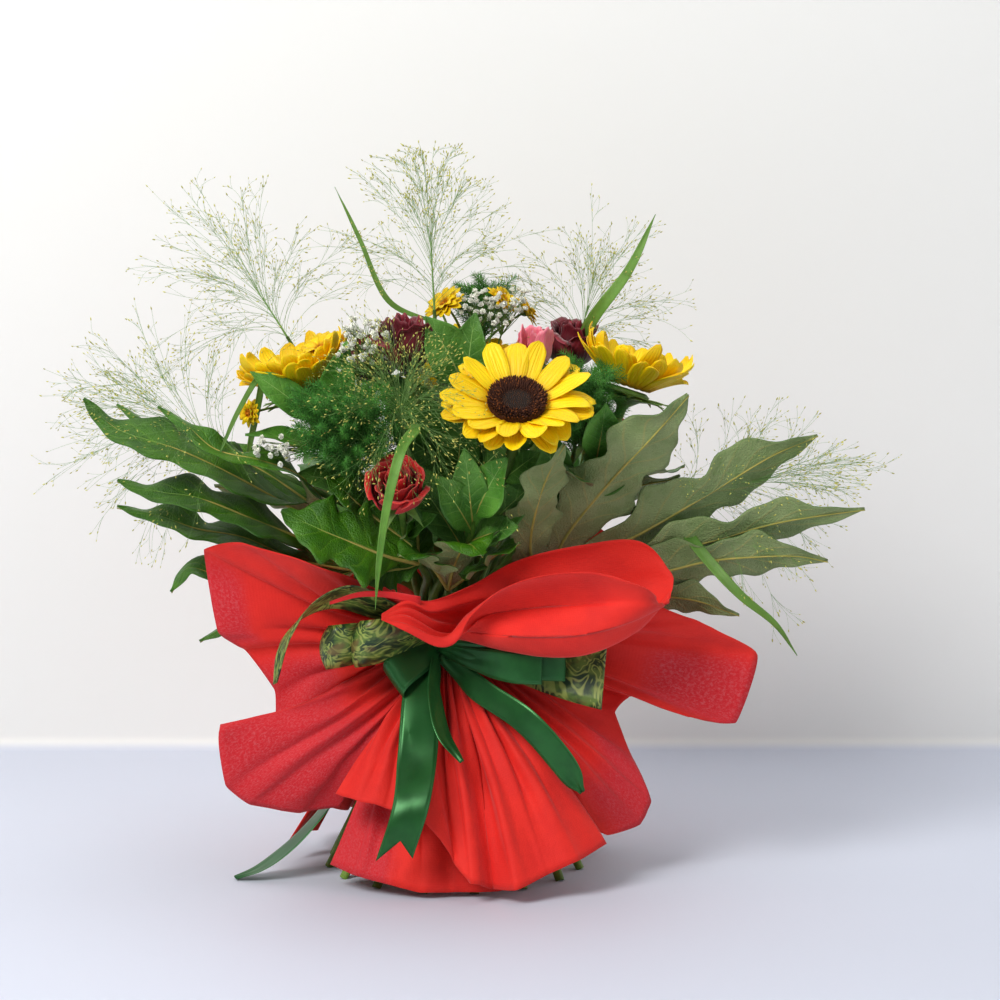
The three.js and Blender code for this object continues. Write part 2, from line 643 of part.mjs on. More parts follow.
function rose(name, seed, colour, size, tall = 1, rings = ROSE_RINGS) {
  const head = HEADS[name];
  const matrix = bloomMatrix(head);
  const hip = lathe([[0, -3], [3.4, -2], [6.0, 0.5], [4.2, 2.4], [0, 2.4]], 6);
  const sepals = [];
  for (let k = 0; k < 5; k++) {
    const angle = (2 * Math.PI * k) / 5 + seed;
    sepals.push(moved(kite(cylindrical(3, angle, 0), cylindrical(22, angle, -8), UP, 7, 3), matrix));
  }
  growOn(name, unionOf([stems[name], moved(hip, matrix)]), sepals, 'stem');

  const bloom = layeredBloom(rings, 29, 3.2, 13, seed).scale([size, size, size * tall])
    .translate([0, 0, 3.2 * (1 - size * tall)]);
  putCarved(`${name}_bloom`, moved(bloom, matrix), colour);
}

sunflower('sunflower_front', 3, 10, 0);
sunflower('sunflower_right', 5, 9, 20);
sunflower('sunflower_left', 8, 9, 28);
sunflower('sunflower_back', 12, 8, 4);
rose('rose_burgundy_left', 1, 'burgundy', 1.02, 1.5);
rose('rose_burgundy_right', 2, 'burgundy', 1, 1.3);
rose('rose_burgundy_back', 3, 'burgundy', 1, 1.2);
rose('rose_red_front', 4, 'red', 0.95);
rose('rose_red_back', 5, 'red', 0.95);
rose('pink_bloom', 6, 'pink', 0.95, 1.15, PINK_RINGS);

// ---------------------------------------------------------------- large lobed leaves

const LEAF_SIMPLE_TO = 0.2;
const LOBE_STATIONS = [0.32, 0.47, 0.61, 0.75, 0.89];
const LOBE_OUTLINE = [0.2, 0.35, 0.68, 0.92, 1, 0.97, 0.88, 0.7, 0.35];

// a palmate leaf as one body. Each lobe follows a hand-set midrib with scalloped, rippled edges, and
// neighbouring lobes part at a valley between their midribs.
function lobedLeaf(junction, lobes, facing) {
  const curves = lobes.map(([width, midrib]) => {
    const curve = new THREE.CatmullRomCurve3([junction, ...midrib.map(vec)], false, 'centripetal');
    return { width, curve };
  });
  const tips = curves.map(({ curve }) => curve.getPointAt(1).sub(junction));
  const middle = tips.reduce((sum, tip) => sum.add(tip), new THREE.Vector3()).normalize();
  const side = facing.clone().cross(middle).normalize();
  const turnOf = (tip) => Math.atan2(tip.dot(side), tip.dot(middle));
  const order = curves.map((_, k) => k).sort((a, b) => turnOf(tips[a]) - turnOf(tips[b]));
  const sorted = order.map((k) => curves[k]);

  const points = [];
  const triangles = [];
  const add = (point) => points.push(point.toArray()) - 1;
  const hub = [1.3, -1.3].map((rise) => add(junction.clone().addScaledVector(facing, rise)));
  const heel = add(junction.clone().addScaledVector(middle, -5));
  const valleys = [heel];
  for (let k = 1; k < sorted.length; k++) {
    valleys.push(add(sorted[k - 1].curve.getPointAt(0.24).lerp(sorted[k].curve.getPointAt(0.24), 0.5)));
  }
  valleys.push(heel);
  sorted.forEach(({ width, curve }, k) => {
    const right = [];
    const left = [];
    const spines = [[hub[0]], [hub[1]]];
    LOBE_STATIONS.forEach((t, i) => {
      const centre = curve.getPointAt(t);
      const across = facing.clone().cross(curve.getTangentAt(t)).normalize();
      const normal = curve.getTangentAt(t).cross(across).normalize();
      const sign = i % 2 === 0 ? -1 : 1;
      const half = (width / 2) * profileAt(LOBE_OUTLINE, t) * (1 + 0.17 * sign);
      const ripple = half * 0.12 + 2.2 * sign;
      right.push(add(centre.clone().addScaledVector(across, -half).addScaledVector(normal, ripple)));
      left.push(add(centre.clone().addScaledVector(across, half).addScaledVector(normal, ripple * 0.8)));
      spines[0].push(add(centre.clone().addScaledVector(normal, BLADE_THICKNESS / 2)));
      spines[1].push(add(centre.clone().addScaledVector(normal, -BLADE_THICKNESS / 2)));
    });
    const outline = [valleys[k], ...right, add(curve.getPointAt(1)), ...left.toReversed(), valleys[k + 1]];
    triangles.push(...spineFaces(spines[0], outline), ...turned(spineFaces(spines[1], outline)));
  });
  return solidOf(meshOf(points, triangles));
}

// a steep lobe that each back leaf adds behind the heads
const STEEP_LOBES = {
  leaf_back_left: [58, [[-46, 58, 240], [-34, 64, 272], [-24, 68, 306], [-20, 70, 340]]],
  leaf_back_right: [58, [[46, 60, 240], [38, 62, 272], [32, 60, 306], [30, 58, 338]]],
};

const LOBED_LEAVES = {
  leaf_right: {
    facing: [-0.2, 0.85, 0.45],
    lobes: [
      [32, [[52, -60, 232], [57, -84, 268], [66, -106, 295], [74, -118, 310]]],
      [52, [[74, -48, 236], [106, -66, 280], [133, -80, 311], [157, -89, 340]]],
      [46, [[98, -38, 226], [129, -37, 241], [183, -30, 272], [221, -25, 294], [251, -20, 306]]],
      [36, [[100, -38, 214], [143, -40, 226], [182, -38, 237], [222, -38, 248], [258, -38, 254], [282,
        -38, 257]]],
      [38, [[100, -36, 206], [146, -40, 215], [174, -42, 222], [201, -44, 225], [236, -46, 226], [256,
        -46, 222]]],
      [26, [[98, -32, 198], [143, -30, 196], [170, -30, 192], [197, -30, 182]]],
    ],
  },
  leaf_left_high: {
    facing: [0, -0.45, 0.9],
    lobes: [
      [46, [[-90, -30, 246], [-113, -40, 260], [-144, -55, 280], [-184, -65, 301], [-225, -62, 314],
        [-251, -55, 334]]],
      [26, [[-88, -18, 250], [-142, -12, 286], [-177, -8, 300], [-207, -5, 310], [-236, 0, 325]]],
      [26, [[-84, -40, 256], [-105, -62, 284], [-130, -80, 296], [-159, -90, 305], [-178, -90, 321],
        [-197, -86, 331]]],
    ],
  },
  leaf_left_low: {
    facing: [0, -0.5, 0.87],
    lobes: [
      [38, [[-84, -20, 220], [-106, -35, 237], [-132, -50, 250], [-169, -62, 267], [-196, -66, 272],
        [-228, -60, 279]]],
      [32, [[-90, -18, 216], [-112, -28, 222], [-146, -36, 238], [-177, -42, 245], [-203, -46, 254],
        [-230, -50, 260]]],
      [26, [[-86, -8, 206], [-108, -10, 203], [-135, -14, 201], [-163, -18, 208], [-185, -22, 214],
        [-196, -28, 198]]],
      [24, [[-82, 2, 202], [-109, 6, 188], [-145, 12, 172], [-169, 14, 164], [-181, 14, 156]]],
    ],
  },
  leaf_front_left: {
    facing: [0.2, -0.75, 0.62],
    lobes: [
      [52, [[-28, -62, 224], [-44, -76, 230], [-64, -90, 240], [-89, -101, 252], [-114, -104, 264]]],
      [36, [[-26, -58, 232], [-42, -62, 246], [-60, -72, 262], [-72, -86, 275], [-85, -96, 286]]],
      [30, [[-30, -58, 220], [-42, -58, 218], [-56, -60, 214], [-68, -60, 214]]],
      [28, [[-24, -58, 232], [-25, -66, 250], [-28, -80, 266], [-32, -94, 277]]],
    ],
  },
  leaf_front: {
    facing: [0, -0.4, 0.92],
    lobes: [
      [44, [[0, -68, 222], [6, -86, 237], [12, -103, 242], [20, -118, 236]]],
      [34, [[-12, -64, 218], [-22, -82, 232], [-36, -100, 234]]],
      [34, [[14, -62, 218], [30, -74, 232], [45, -86, 240]]],
    ],
  },
};

// the leaves at the back follow a rule: four lobes fanned round the way the leaf points
function fannedLobes(head, reach, seed) {
  const out = vec([head.at[0], head.at[1], 0]).normalize();
  const side = out.clone().cross(UP);
  const lobes = [];
  for (let k = 0; k < 4; k++) {
    const turn = radians((k - 1.5) * 44);
    const heading = out.clone().multiplyScalar(Math.cos(turn)).addScaledVector(side, Math.sin(turn));
    const length = reach * (1 - 0.09 * Math.abs(k - 1.5)) * between(seed, k, 0.92, 1.05);
    const start = vec(head.at).addScaledVector(heading, 5);
    const points = [0, 0.35, 0.7, 1].map((t) => start.clone()
      .addScaledVector(heading, length * t)
      .addScaledVector(UP, length * (0.75 * t - 0.35 * t * t) + (k % 2) * 8 * t)
      .toArray());
    lobes.push([38 + 5 * chance(seed, k + 9), points]);
  }
  return lobes;
}

for (const [name, reach, seed, facing] of [
  ['leaf_back_left', 135, 21, [-0.35, 0.35, 0.87]], ['leaf_back_right', 130, 33, [0.35, 0.35, 0.87]],
]) {
  LOBED_LEAVES[name] = { facing, lobes: [...fannedLobes(HEADS[name], reach, seed), STEEP_LOBES[name]] };
}

for (const [name, leaf] of Object.entries(LOBED_LEAVES)) {
  const solid = carvedClear(lobedLeaf(vec(HEADS[name].at), leaf.lobes, vec(leaf.facing).normalize()),
    name);
  const colour = name === 'leaf_right' ? 'leafUnder' : 'leaf';
  put(name, mainBody(unionOf([stems[name], solid]), LEAF_SIMPLE_TO), colour);
}

// ---------------------------------------------------------------- leafy stems, filler and ferns

// the point and the direction part of the way up a stem, where something grows from it
function stemPoint(name, share) {
  const [, bend] = stemCurve(HEADS[name], slots[name]).curves;
  return { point: bend.getPoint(share), along: bend.getTangent(share).normalize() };
}

// a thin three-sided branch from one point to another by way of a third
function branch(from, by, to, thick, steps) {
  const stations = Array.from({ length: steps + 1 }, (_, i) => [i / steps,
    thick * (1 - (0.35 * i) / steps)]);
  return tubeSolid(new THREE.QuadraticBezierCurve3(from, by, to), stations, 3);
}

// the ovate leaves of a leafy stem: root share up the stem, tip, width
const SPRIG_LEAVES = {
  sprig_centre: [
    [1, [-19, -58, 391], 34, [0.3, -0.9, 0.2]],
    [0.93, [15, -52, 393], 30, [-0.2, -0.9, 0.3]],
    [0.85, [-20, -72, 340], 22, [0, -0.6, 0.8]],
    [0.8, [34, -66, 330], 22, [0.2, -0.6, 0.7]],
    [0.6, [-44, -50, 316], 34, [0.1, -0.9, 0.3]],
    [0.5, [46, -48, 312], 34, [-0.1, -0.9, 0.3]],
  ],
  sprig_left: [
    [1, [-137, -64, 354], 22, [0, -0.8, 0.5]],
    [0.92, [-96, -88, 336], 24, [0.1, -0.7, 0.7]],
    [0.82, [-140, -70, 312], 22, [-0.2, -0.5, 0.8]],
    [0.96, [-72, -56, 374], 24, [0.2, -0.9, 0.3]],
    [0.6, [-107, -58, 283], 28, [0.1, -0.8, 0.6]],
  ],
  sprig_right: [
    [1, [102, -80, 334], 26, [0.2, -0.9, 0.4]],
    [0.9, [70, -96, 292], 24, [-0.3, -0.8, 0.5]],
    [0.82, [130, -46, 290], 24, [0.2, -0.6, 0.8]],
    [0.95, [128, -34, 318], 20, [0.1, -0.8, 0.6]],
    [0.6, [62, -66, 320], 30, [0.1, -0.9, 0.3]],
  ],
  sprig_low: [
    [1, [36, -104, 300], 30, [-0.3, -0.9, 0.3]],
    [0.9, [-12, -104, 288], 26, [0.3, -0.9, 0.3]],
    [0.8, [44, -92, 252], 26, [0.2, -0.8, 0.6]],
    [0.95, [8, -100, 306], 24, [0, -1, 0.2]],
    [0.7, [-38, -74, 300], 28, [0.2, -0.9, 0.3]],
    [0.65, [62, -72, 286], 28, [0, -0.9, 0.4]],
  ],
};

const LEAF_OUTLINE = [0.16, 1, 0.85, 0];

function ovateLeaf(root, tip, width, facing) {
  const bow = root.clone().lerp(tip, 0.5).addScaledVector(facing, root.distanceTo(tip) * 0.14);
  const curve = new THREE.QuadraticBezierCurve3(root, bow, tip);
  return blade(curve, facing, (t) => (width / 2) * profileAt(LEAF_OUTLINE, t), { stations: 4,
    cup: 0.15, root: 1 });
}

function sprig(name) {
  const leaves = SPRIG_LEAVES[name].map(([share, tip, width, facing]) => (
    ovateLeaf(stemPoint(name, share).point, vec(tip), width, vec(facing).normalize())));
  growOn(name, stems[name], leaves.map((leaf) => clearPart(leaf, name)), 'leaf');
}

// a small yellow bloom made as one star: a button in the middle and eight narrow petals
function smallBloom(centre, facing, radius, seed) {
  const petals = 8;
  const step = (2 * Math.PI) / petals;
  const button = [];
  const rim = [];
  for (let k = 0; k < petals; k++) {
    const angle = k * step + between(seed, k, -0.1, 0.1);
    const lift = between(seed, k + 9, 0, 4);
    button.push(cylindrical(3.2, k * step, 3.2));
    rim.push(cylindrical(3.8, (k - 0.5) * step, 0.8));
    rim.push(cylindrical(radius * 0.72, angle - step * 0.3, 1.6 + lift * 0.7));
    rim.push(cylindrical(radius, angle, 1.2 + lift));
    rim.push(cylindrical(radius * 0.72, angle + step * 0.3, 1.6 + lift * 0.7));
  }
  const points = [new THREE.Vector3(0, 0, 4.2), new THREE.Vector3(0, 0, -2.2), ...button, ...rim];
  const buttonAt = (k) => 2 + (k % petals);
  const rimAt = (n) => 2 + petals + (n % (4 * petals));
  const triangles = [];
  for (let k = 0; k < petals; k++) {
    triangles.push([0, buttonAt(k), buttonAt(k + 1)], [buttonAt(k), rimAt(4 * k + 4), buttonAt(k + 1)]);
    for (let n = 4 * k; n < 4 * k + 4; n++) {
      triangles.push([buttonAt(k), rimAt(n), rimAt(n + 1)], [1, rimAt(n + 1), rimAt(n)]);
    }
  }
  const solid = solidOf(meshOf(points.map((point) => point.toArray()), triangles));
  return moved(solid, bloomMatrix({ at: centre.toArray(), growth: facing.toArray() }));
}

const SPRAY_BLOOMS = {
  spray_yellow_top: [[-6, 14, 394, 17], [32, 14, 397, 13], [48, 34, 388, 13], [-10, 46, 388, 13]],
  spray_yellow_left: [[-92, -4, 364, 20], [-128, 22, 340, 13], [-88, 34, 356, 13], [-136, -62, 326, 10]],
};

function spray(name, seed) {
  const parts = SPRAY_BLOOMS[name].map(([x, y, z, radius], k) => {
    const centre = new THREE.Vector3(x, y, z);
    const { point, along } = stemPoint(name, 0.92 - 0.07 * k);
    const by = point.clone().addScaledVector(along, point.distanceTo(centre) * 0.5);
    const facing = centre.clone().sub(by).normalize().add(new THREE.Vector3(x / 300, y / 300 - 0.3,
      0.2)).normalize();
    return unionOf([branch(point, by, centre, 1.2, 2), smallBloom(centre, facing, radius, seed + k)]);
  });
  growOn(name, stems[name], parts, 'yellow');
}

// white filler: forked branchlets with a small floret at each tip
const GYPSOPHILA_SPREAD = {
  gypsophila_left: { centres: [[-61, -60, 381], [-67, -56, 362], [-56, -66, 371], [-120, -84, 303]],
    seed: 41 },
  gypsophila_top: { centres: [[30, -6, 392], [14, 2, 398], [40, 10, 398]], seed: 57 },
};

function gypsophila(name) {
  const { centres, seed } = GYPSOPHILA_SPREAD[name];
  const parts = [];
  centres.forEach((centre, c) => {
    const { point, along } = stemPoint(name, 0.95 - 0.08 * c);
    const fork = point.clone().lerp(vec(centre), 0.62).addScaledVector(along, 4);
    const florets = [];
    for (let k = 0; k < 4; k++) {
      const tip = vec(centre).add(new THREE.Vector3(
        between(seed + c, k, -13, 13), between(seed + c, k + 20, -10, 10), between(seed + c, k + 40,
          -9, 11)));
      const stalk = new THREE.LineCurve3(fork, tip);
      const floret = tubeSolid(stalk, [[0, 0.6], [1 - 3.6 / stalk.getLength(), 0.45], [0.97, 2.4], [1,
        0.6]], 3);
      if (isClear(floret, name)) florets.push(floret);
    }
    const stalk = branch(point, point.clone().addScaledVector(along, 9), fork, 0.9, 2);
    if (florets.length > 0 && isClear(stalk, name)) parts.push(unionOf([stalk, ...florets]));
  });
  growOn(name, stems[name], parts, 'white');
}

// a core or branch whose every wall face is drawn out to the point of a needle
function needled(curve, thick, steps, reach, seed, own, others) {
  const stations = Array.from({ length: steps + 1 }, (_, i) => [i / steps,
    thick * (1 - (0.6 * i) / steps)]);
  const wall = tube(curve, stations, 3);
  const corners = wall.points.map(vec);
  const triangles = [...endFaces(wall)];
  const points = [...wall.points];
  wallFaces(wall).forEach((face, n) => {
    const [a, b, c] = face.map((i) => corners[i]);
    const middle = a.clone().add(b).add(c).divideScalar(3);
    const share = (Math.floor(n / 6) + 0.5) / steps;
    const along = curve.getTangentAt(share);
    const out = b.clone().sub(a).cross(c.clone().sub(a)).normalize();
    const size = reach * (1 - 0.5 * share) * between(seed, n, 0.75, 1.1);
    const tip = middle.clone().addScaledVector(out, size).addScaledVector(along, size * between(seed,
      n + 50, 0.5, 0.75));
    const corner = [a, b, c].map((point) => point.clone().lerp(tip, 0.12).toArray());
    const needle = solidOf(meshOf([...corner, tip.toArray()], [[0, 2, 1], [0, 1, 3], [1, 2, 3], [2, 0,
      3]]));
    if (!isClear(needle, own) || others.some((other) => needle.minGap(other, 0.3) < 0.15)) {
      triangles.push(face);
      return;
    }
    const last = points.push(tip.toArray()) - 1;
    face.forEach((i, k) => triangles.push([i, face[(k + 1) % 3], last]));
  });
  return solidOf(meshOf(points, triangles));
}

// a fern's plume: needles round its core and round the branches that leave it on every side
const FERNS = {
  fern_left: { branches: 5, reach: 14, span: 42, seed: 61 },
  fern_top: { branches: 2, reach: 12, span: 20, seed: 67 },
  fern_right: { branches: 4, reach: 14, span: 34, seed: 71 },
  fern_back: { branches: 2, reach: 15, span: 30, seed: 73 },
};

function fern(name) {
  const { branches, reach, span, seed } = FERNS[name];
  const curve = coreCurve(name);
  const [length, thick] = CORES[name];
  const side = new THREE.Vector3(1, 0.2, 0);
  const other = new THREE.Vector3(-0.2, 1, 0);
  const lines = [];
  for (let k = 0; k < branches; k++) {
    const share = 0.08 + (0.6 * k) / branches;
    const turn = k * 2.39996 + seed;
    const root = curve.getPointAt(share);
    const way = side.clone().multiplyScalar(Math.cos(turn)).addScaledVector(other, Math.sin(turn))
      .addScaledVector(curve.getTangentAt(share), 1).normalize();
    const far = span * (1 - 0.4 * share);
    const line = new THREE.QuadraticBezierCurve3(
      root, root.clone().addScaledVector(way, far * 0.6), root.clone().addScaledVector(way,
        far).addScaledVector(UP, -far * 0.12),
    );
    if (isClear(tubeSolid(line, [[0, 1], [1, 0.5]], 3), name)) lines.push(line);
  }
  const bare = lines.map((line) => tubeSolid(line, [[0.1, 1], [1, 0.5]], 3));
  const grown = [needled(curve, thick, Math.round(length / 8), reach, seed, name, bare)];
  lines.forEach((line, k) => {
    const others = [...grown, ...bare.filter((_, other) => other !== k)];
    grown.push(needled(line, 1.1, 3, reach * 0.8, seed + k, name, others));
  });
  put(name, mainBody(unionOf([stems[name], ...grown])), 'fern');
}

// ---------------------------------------------------------------- the wrap, tie and ribbons

const neckPoint = (degrees, radius, height) => cylindrical(radius, radians(degrees), height).toArray();

// a gathered sheet: each column is [neck angle, neck height, middle, edge] and runs from the tie out
// to the sheet's edge. Columns that pass the band on its outside start at a wider radius.
function gatheredSheet(columns, rows) {
  const net = [[], [], [], []];
  columns.forEach(([degrees, height, middle, edge, radius = NECK_RADIUS]) => {
    const neck = vec(neckPoint(degrees, radius, height));
    const lift = height > TIE_HEIGHT ? 5 : -5;
    const shoulder = radius > NECK_RADIUS ? neck.clone().lerp(vec(middle), 0.25)
      : vec(neckPoint(degrees, radius + 1.4, height + lift));
    net[0].push(neck.toArray());
    net[1].push(shoulder.toArray());
    net[2].push(middle);
    net[3].push(edge);
  });
  return sheet(smoothGrid(net, rows, columns.length), () => SHEET_THICKNESS / 2);
}

const OUTSIDE_BAND = 38;

const WRAP_LEFT = [
  [246, 173, [-28, -50, 184], [-32, -68, 198]],
  [240, 173, [-50, -54, 192], [-62, -72, 213]],
  [234, 173, [-62, -54, 196], [-90, -76, 225]],
  [228, 172, [-88, -50, 200], [-142, -62, 239]],
  [222, 171, [-98, -42, 194], [-171, -46, 231], 33],
  [217, 168, [-98, -38, 176], [-163, -42, 174], OUTSIDE_BAND],
  [213, 166, [-86, -34, 164], [-146, -34, 160], OUTSIDE_BAND],
  [209, 164, [-78, -32, 150], [-125, -30, 130], OUTSIDE_BAND],
  [206, 162, [-72, -34, 138], [-123, -32, 99], OUTSIDE_BAND],
  [210, 160, [-66, -38, 134], [-100, -44, 106], OUTSIDE_BAND],
  [216, 158, [-88, -56, 130], [-159, -74, 112], OUTSIDE_BAND],
  [224, 157, [-88, -60, 112], [-156, -72, 72], 33],
  [231, 156, [-80, -62, 104], [-140, -66, 58]],
  [238, 156, [-66, -58, 98], [-106, -56, 49]],
  [244, 156, [-52, -52, 98], [-80, -50, 52]],
];

const WRAP_RIGHT = [
  [300, 173, [60, -50, 182], [100, -56, 191]],
  [305, 173, [80, -54, 183], [138, -66, 193]],
  [310, 172, [95, -52, 177], [168, -61, 181]],
  [316, 170, [115, -46, 165], [209, -46, 156], 33],
  [319, 167, [110, -46, 142], [194, -50, 110], OUTSIDE_BAND],
  [321, 165, [96, -42, 139], [163, -46, 113], OUTSIDE_BAND],
  [323, 163, [88, -36, 139], [148, -38, 119], OUTSIDE_BAND],
  [324, 161, [78, -26, 138], [122, -18, 122], OUTSIDE_BAND],
  [320, 159, [72, -34, 132], [112, -30, 114], OUTSIDE_BAND],
  [314, 158, [78, -42, 116], [124, -36, 84], 33],
  [309, 157, [84, -46, 100], [137, -40, 54]],
  [304, 156, [80, -50, 92], [129, -46, 38]],
  [299, 156, [68, -56, 88], [107, -56, 33]],
  [294, 156, [56, -58, 92], [86, -62, 45]],
];

const WRAP_FRONT = [
  [234, 150, [-50, -60, 110], [-79, -87, 68]],
  [239, 150, [-42, -68, 108], [-63, -100, 66]],
  [244, 150, [-34, -70, 104], [-46, -106, 64]],
  [250, 150, [-22, -78, 102], [-18, -116, 55]],
  [256, 150, [-6, -72, 92], [0, -108, 27]],
  [262, 150, [4, -80, 88], [12, -120, 15]],
  [268, 150, [16, -70, 86], [27, -106, 8]],
  [274, 150, [26, -82, 86], [43, -118, 10]],
  [280, 150, [38, -76, 88], [63, -108, 18]],
  [286, 150, [50, -74, 92], [84, -102, 26]],
  [292, 150, [60, -62, 96], [103, -80, 32]],
];

const WRAP_FRONT_UNDER = [
  [222, 146, [-52, -44, 90], [-85, -74, 17]],
  [232, 146, [-44, -54, 86], [-66, -88, 12]],
  [242, 146, [-36, -60, 82], [-47, -96, 9]],
  [251, 146, [-20, -62, 80], [-22, -102, 4]],
  [260, 146, [0, -64, 78], [0, -97, 3]],
  [269, 146, [18, -62, 78], [30, -98, 4]],
  [278, 146, [36, -58, 80], [62, -88, 12]],
];

// the back sheet by rule: from its top edge down through the neck to its hem
const WRAP_BACK = { from: 20, to: 180, columns: 13, top: [118, 226], hem: [112, 14], fold: 9 };

function backSheet() {
  const { from, to, columns, top, hem, fold } = WRAP_BACK;
  const net = [[], [], [], [], [], [], []];
  for (let k = 0; k < columns; k++) {
    const degrees = from + ((to - from) * k) / (columns - 1);
    const sign = k % 2 === 0 ? 1 : -1;
    const rise = 10 * Math.sin(k * 1.7);
    const ring = [
      [top[0] + fold * sign, top[1] + rise], [68 + 3 * sign, 202], [NECK_RADIUS,
        TIE_HEIGHT + BAND_HALF_WIDTH + 3],
      [NECK_RADIUS, TIE_HEIGHT], [NECK_RADIUS, TIE_HEIGHT - BAND_HALF_WIDTH - 3], [64 + 3 * sign, 100],
      [hem[0] + fold * sign, hem[1] + 5 + 5 * Math.cos(k * 1.3)],
    ];
    ring.forEach(([radius, height], i) => net[i].push(neckPoint(degrees, radius, height)));
  }
  return sheet(smoothGrid(net, 7, columns), () => SHEET_THICKNESS / 2);
}

// the roll at the top right: rows run from its point at the left to its round end at the right,
// and each row goes from the back rim down, under, and up to the free front rim
const SCROLL = [
  [[-48, -90, 193], [-48, -91, 192.5], [-48, -92, 192], [-48, -93, 191.5], [-48, -94, 191], [-48, -95,
    190.5],
    [-48, -96, 190]],
  [[-31, -84, 202], [-31, -85, 199], [-31, -87, 196], [-31, -89, 193], [-31, -91, 190], [-31, -94, 186.5],
    [-31, -97, 183]],
  [[-16, -80, 199], [-15, -78, 193], [-14, -77, 187], [-12, -80, 182], [-10, -84, 178], [-7, -89, 176],
    [-4, -94, 175]],
  [[10, -74, 208], [8, -68, 198], [5, -56, 182], [6, -58, 175], [8, -74, 177], [10, -88, 184], [10,
    -98, 194]],
  [[42, -74, 226], [40, -70, 204], [38, -63, 184], [40, -79, 169], [42, -104, 181], [40, -96, 198],
    [40, -112, 219]],
  [[88, -72, 237], [88, -72, 208], [86, -80, 178], [86, -98, 169], [88, -114, 184], [86, -112, 204],
    [90, -118, 228]],
  [[126, -72, 239], [132, -72, 216], [128, -86, 190], [124, -98, 184], [126, -108, 192], [125, -111,
    204], [122, -114, 217]],
  [[147, -76, 222], [148, -80, 216], [147, -84, 208], [146, -87, 203], [144, -90, 200], [141, -93,
    198], [138, -96, 197]],
];

put('stem_tie', lathe([
  [TIE_INNER_RADIUS, TIE_HEIGHT - TIE_HALF_HEIGHT], [TIE_OUTER_RADIUS, TIE_HEIGHT - TIE_HALF_HEIGHT],
  [TIE_OUTER_RADIUS, TIE_HEIGHT + TIE_HALF_HEIGHT], [TIE_INNER_RADIUS, TIE_HEIGHT + TIE_HALF_HEIGHT],
  [TIE_INNER_RADIUS, TIE_HEIGHT - TIE_HALF_HEIGHT],
], 18), 'tie');

// a ribbon along hand-set points; across gives each point's way over the ribbon's width, and widths
// how wide it is there
function ribbon(points, acrossWays, widths, thickness = RIBBON_THICKNESS) {
  const centres = new THREE.CatmullRomCurve3(points.map(vec), false, 'centripetal');
  const ways = new THREE.CatmullRomCurve3(acrossWays.map(vec), false, 'centripetal');
  const stations = points.length + 2;
  const grid = [];
  for (let i = 0; i < stations; i++) {
    const t = i / (stations - 1);
    const centre = centres.getPoint(t);
    const way = ways.getPoint(t).normalize();
    const half = profileAt(widths, t) / 2;
    grid.push([-1, 1].map((side) => centre.clone().addScaledVector(way, side * half)));
  }
  return sheet(grid, () => thickness / 2);
}

// the gathered tongue that joins the roll to the neck
const SCROLL_TONGUE = [[[6, -29.6, 174], [6, -42, 176.5], [6, -58, 181]], [[1, 0, 0], [1, 0, 0]], [12,
  18, 24]];

// the roll's upper rim runs on to the left as a narrow edge above the bow's printed loops
const SCROLL_RIM = [
  [[-83, -88, 200], [-62, -88, 206], [-40, -86, 205], [-22, -82, 200]],
  [[0, -0.3, 1], [0, -0.3, 1]],
  [2.4, 4, 5, 8],
];

const BOW_KNOT = [-14, -36, 163];

const SATIN_STRIPS = [
  // the loop at the front left, out and back
  [[[-14, -42, 163], [-27, -58, 157], [-40, -70, 147], [-40, -64, 139], [-26, -52, 146], [-13, -43, 158]],
    [[0.55, -0.2, -0.8], [0.6, -0.1, -0.78]], [13, SATIN_WIDTH, SATIN_WIDTH, SATIN_WIDTH, SATIN_WIDTH,
      13]],
  // the loop to the right, in front of the printed tail
  [[[-12, -42, 163], [20, -64, 160], [60, -76, 157], [76, -72, 156], [50, -66, 156], [-8, -42, 160]],
    [[0, 0.1, 1], [0.1, 0.1, 1]], [8, 18, 24, 24, 20, 8]],
  // a shorter loop in front of it
  [[[-10, -43, 161], [14, -62, 157], [42, -82, 155], [60, -84, 155], [40, -76, 155], [-6, -44, 158]],
    [[0, 0.1, 1], [0.1, 0.1, 1]], [8, 16, 22, 22, 18, 8]],
  // tails: front, right and the thin dark one
  [[[-17, -42, 158], [-22, -66, 136], [-24, -92, 99], [-28, -122, 68], [-39, -126, 33]],
    [[1, 0.1, 0], [1, -0.1, 0.1]], [12, SATIN_WIDTH, SATIN_WIDTH + 2, SATIN_WIDTH, SATIN_WIDTH]],
  [[[-10, -42, 157], [4, -50, 146], [18, -64, 136], [48, -88, 120], [72, -98, 95], [87, -100, 73]],
    [[0.5, -0.2, 0.8], [0.75, -0.2, 0.6]], [9, 14, 18, 19, 18, 4]],
  [[[-13, -43, 158], [-13, -80, 136], [-6, -100, 112], [6, -110, 96]],
    [[0.5, 0.8, 0.1], [0.7, 0.6, 0.2]], [10, 14, 12, 4]],
];
const FLOOR_TAIL = [[-27, -17, 160], [-37, -22, 132], [-62, -30, 88], [-90, -36, 48], [-115, -44, 22],
  [-136, -48, 7], [-152, -50, 1.2]];
const FLOOR_TAIL_WAYS = [[0.5, -0.8, 0.2], [0.35, -0.9, 0.2], [0.3, -0.95, 0.1], [0.3, -0.95, 0]];

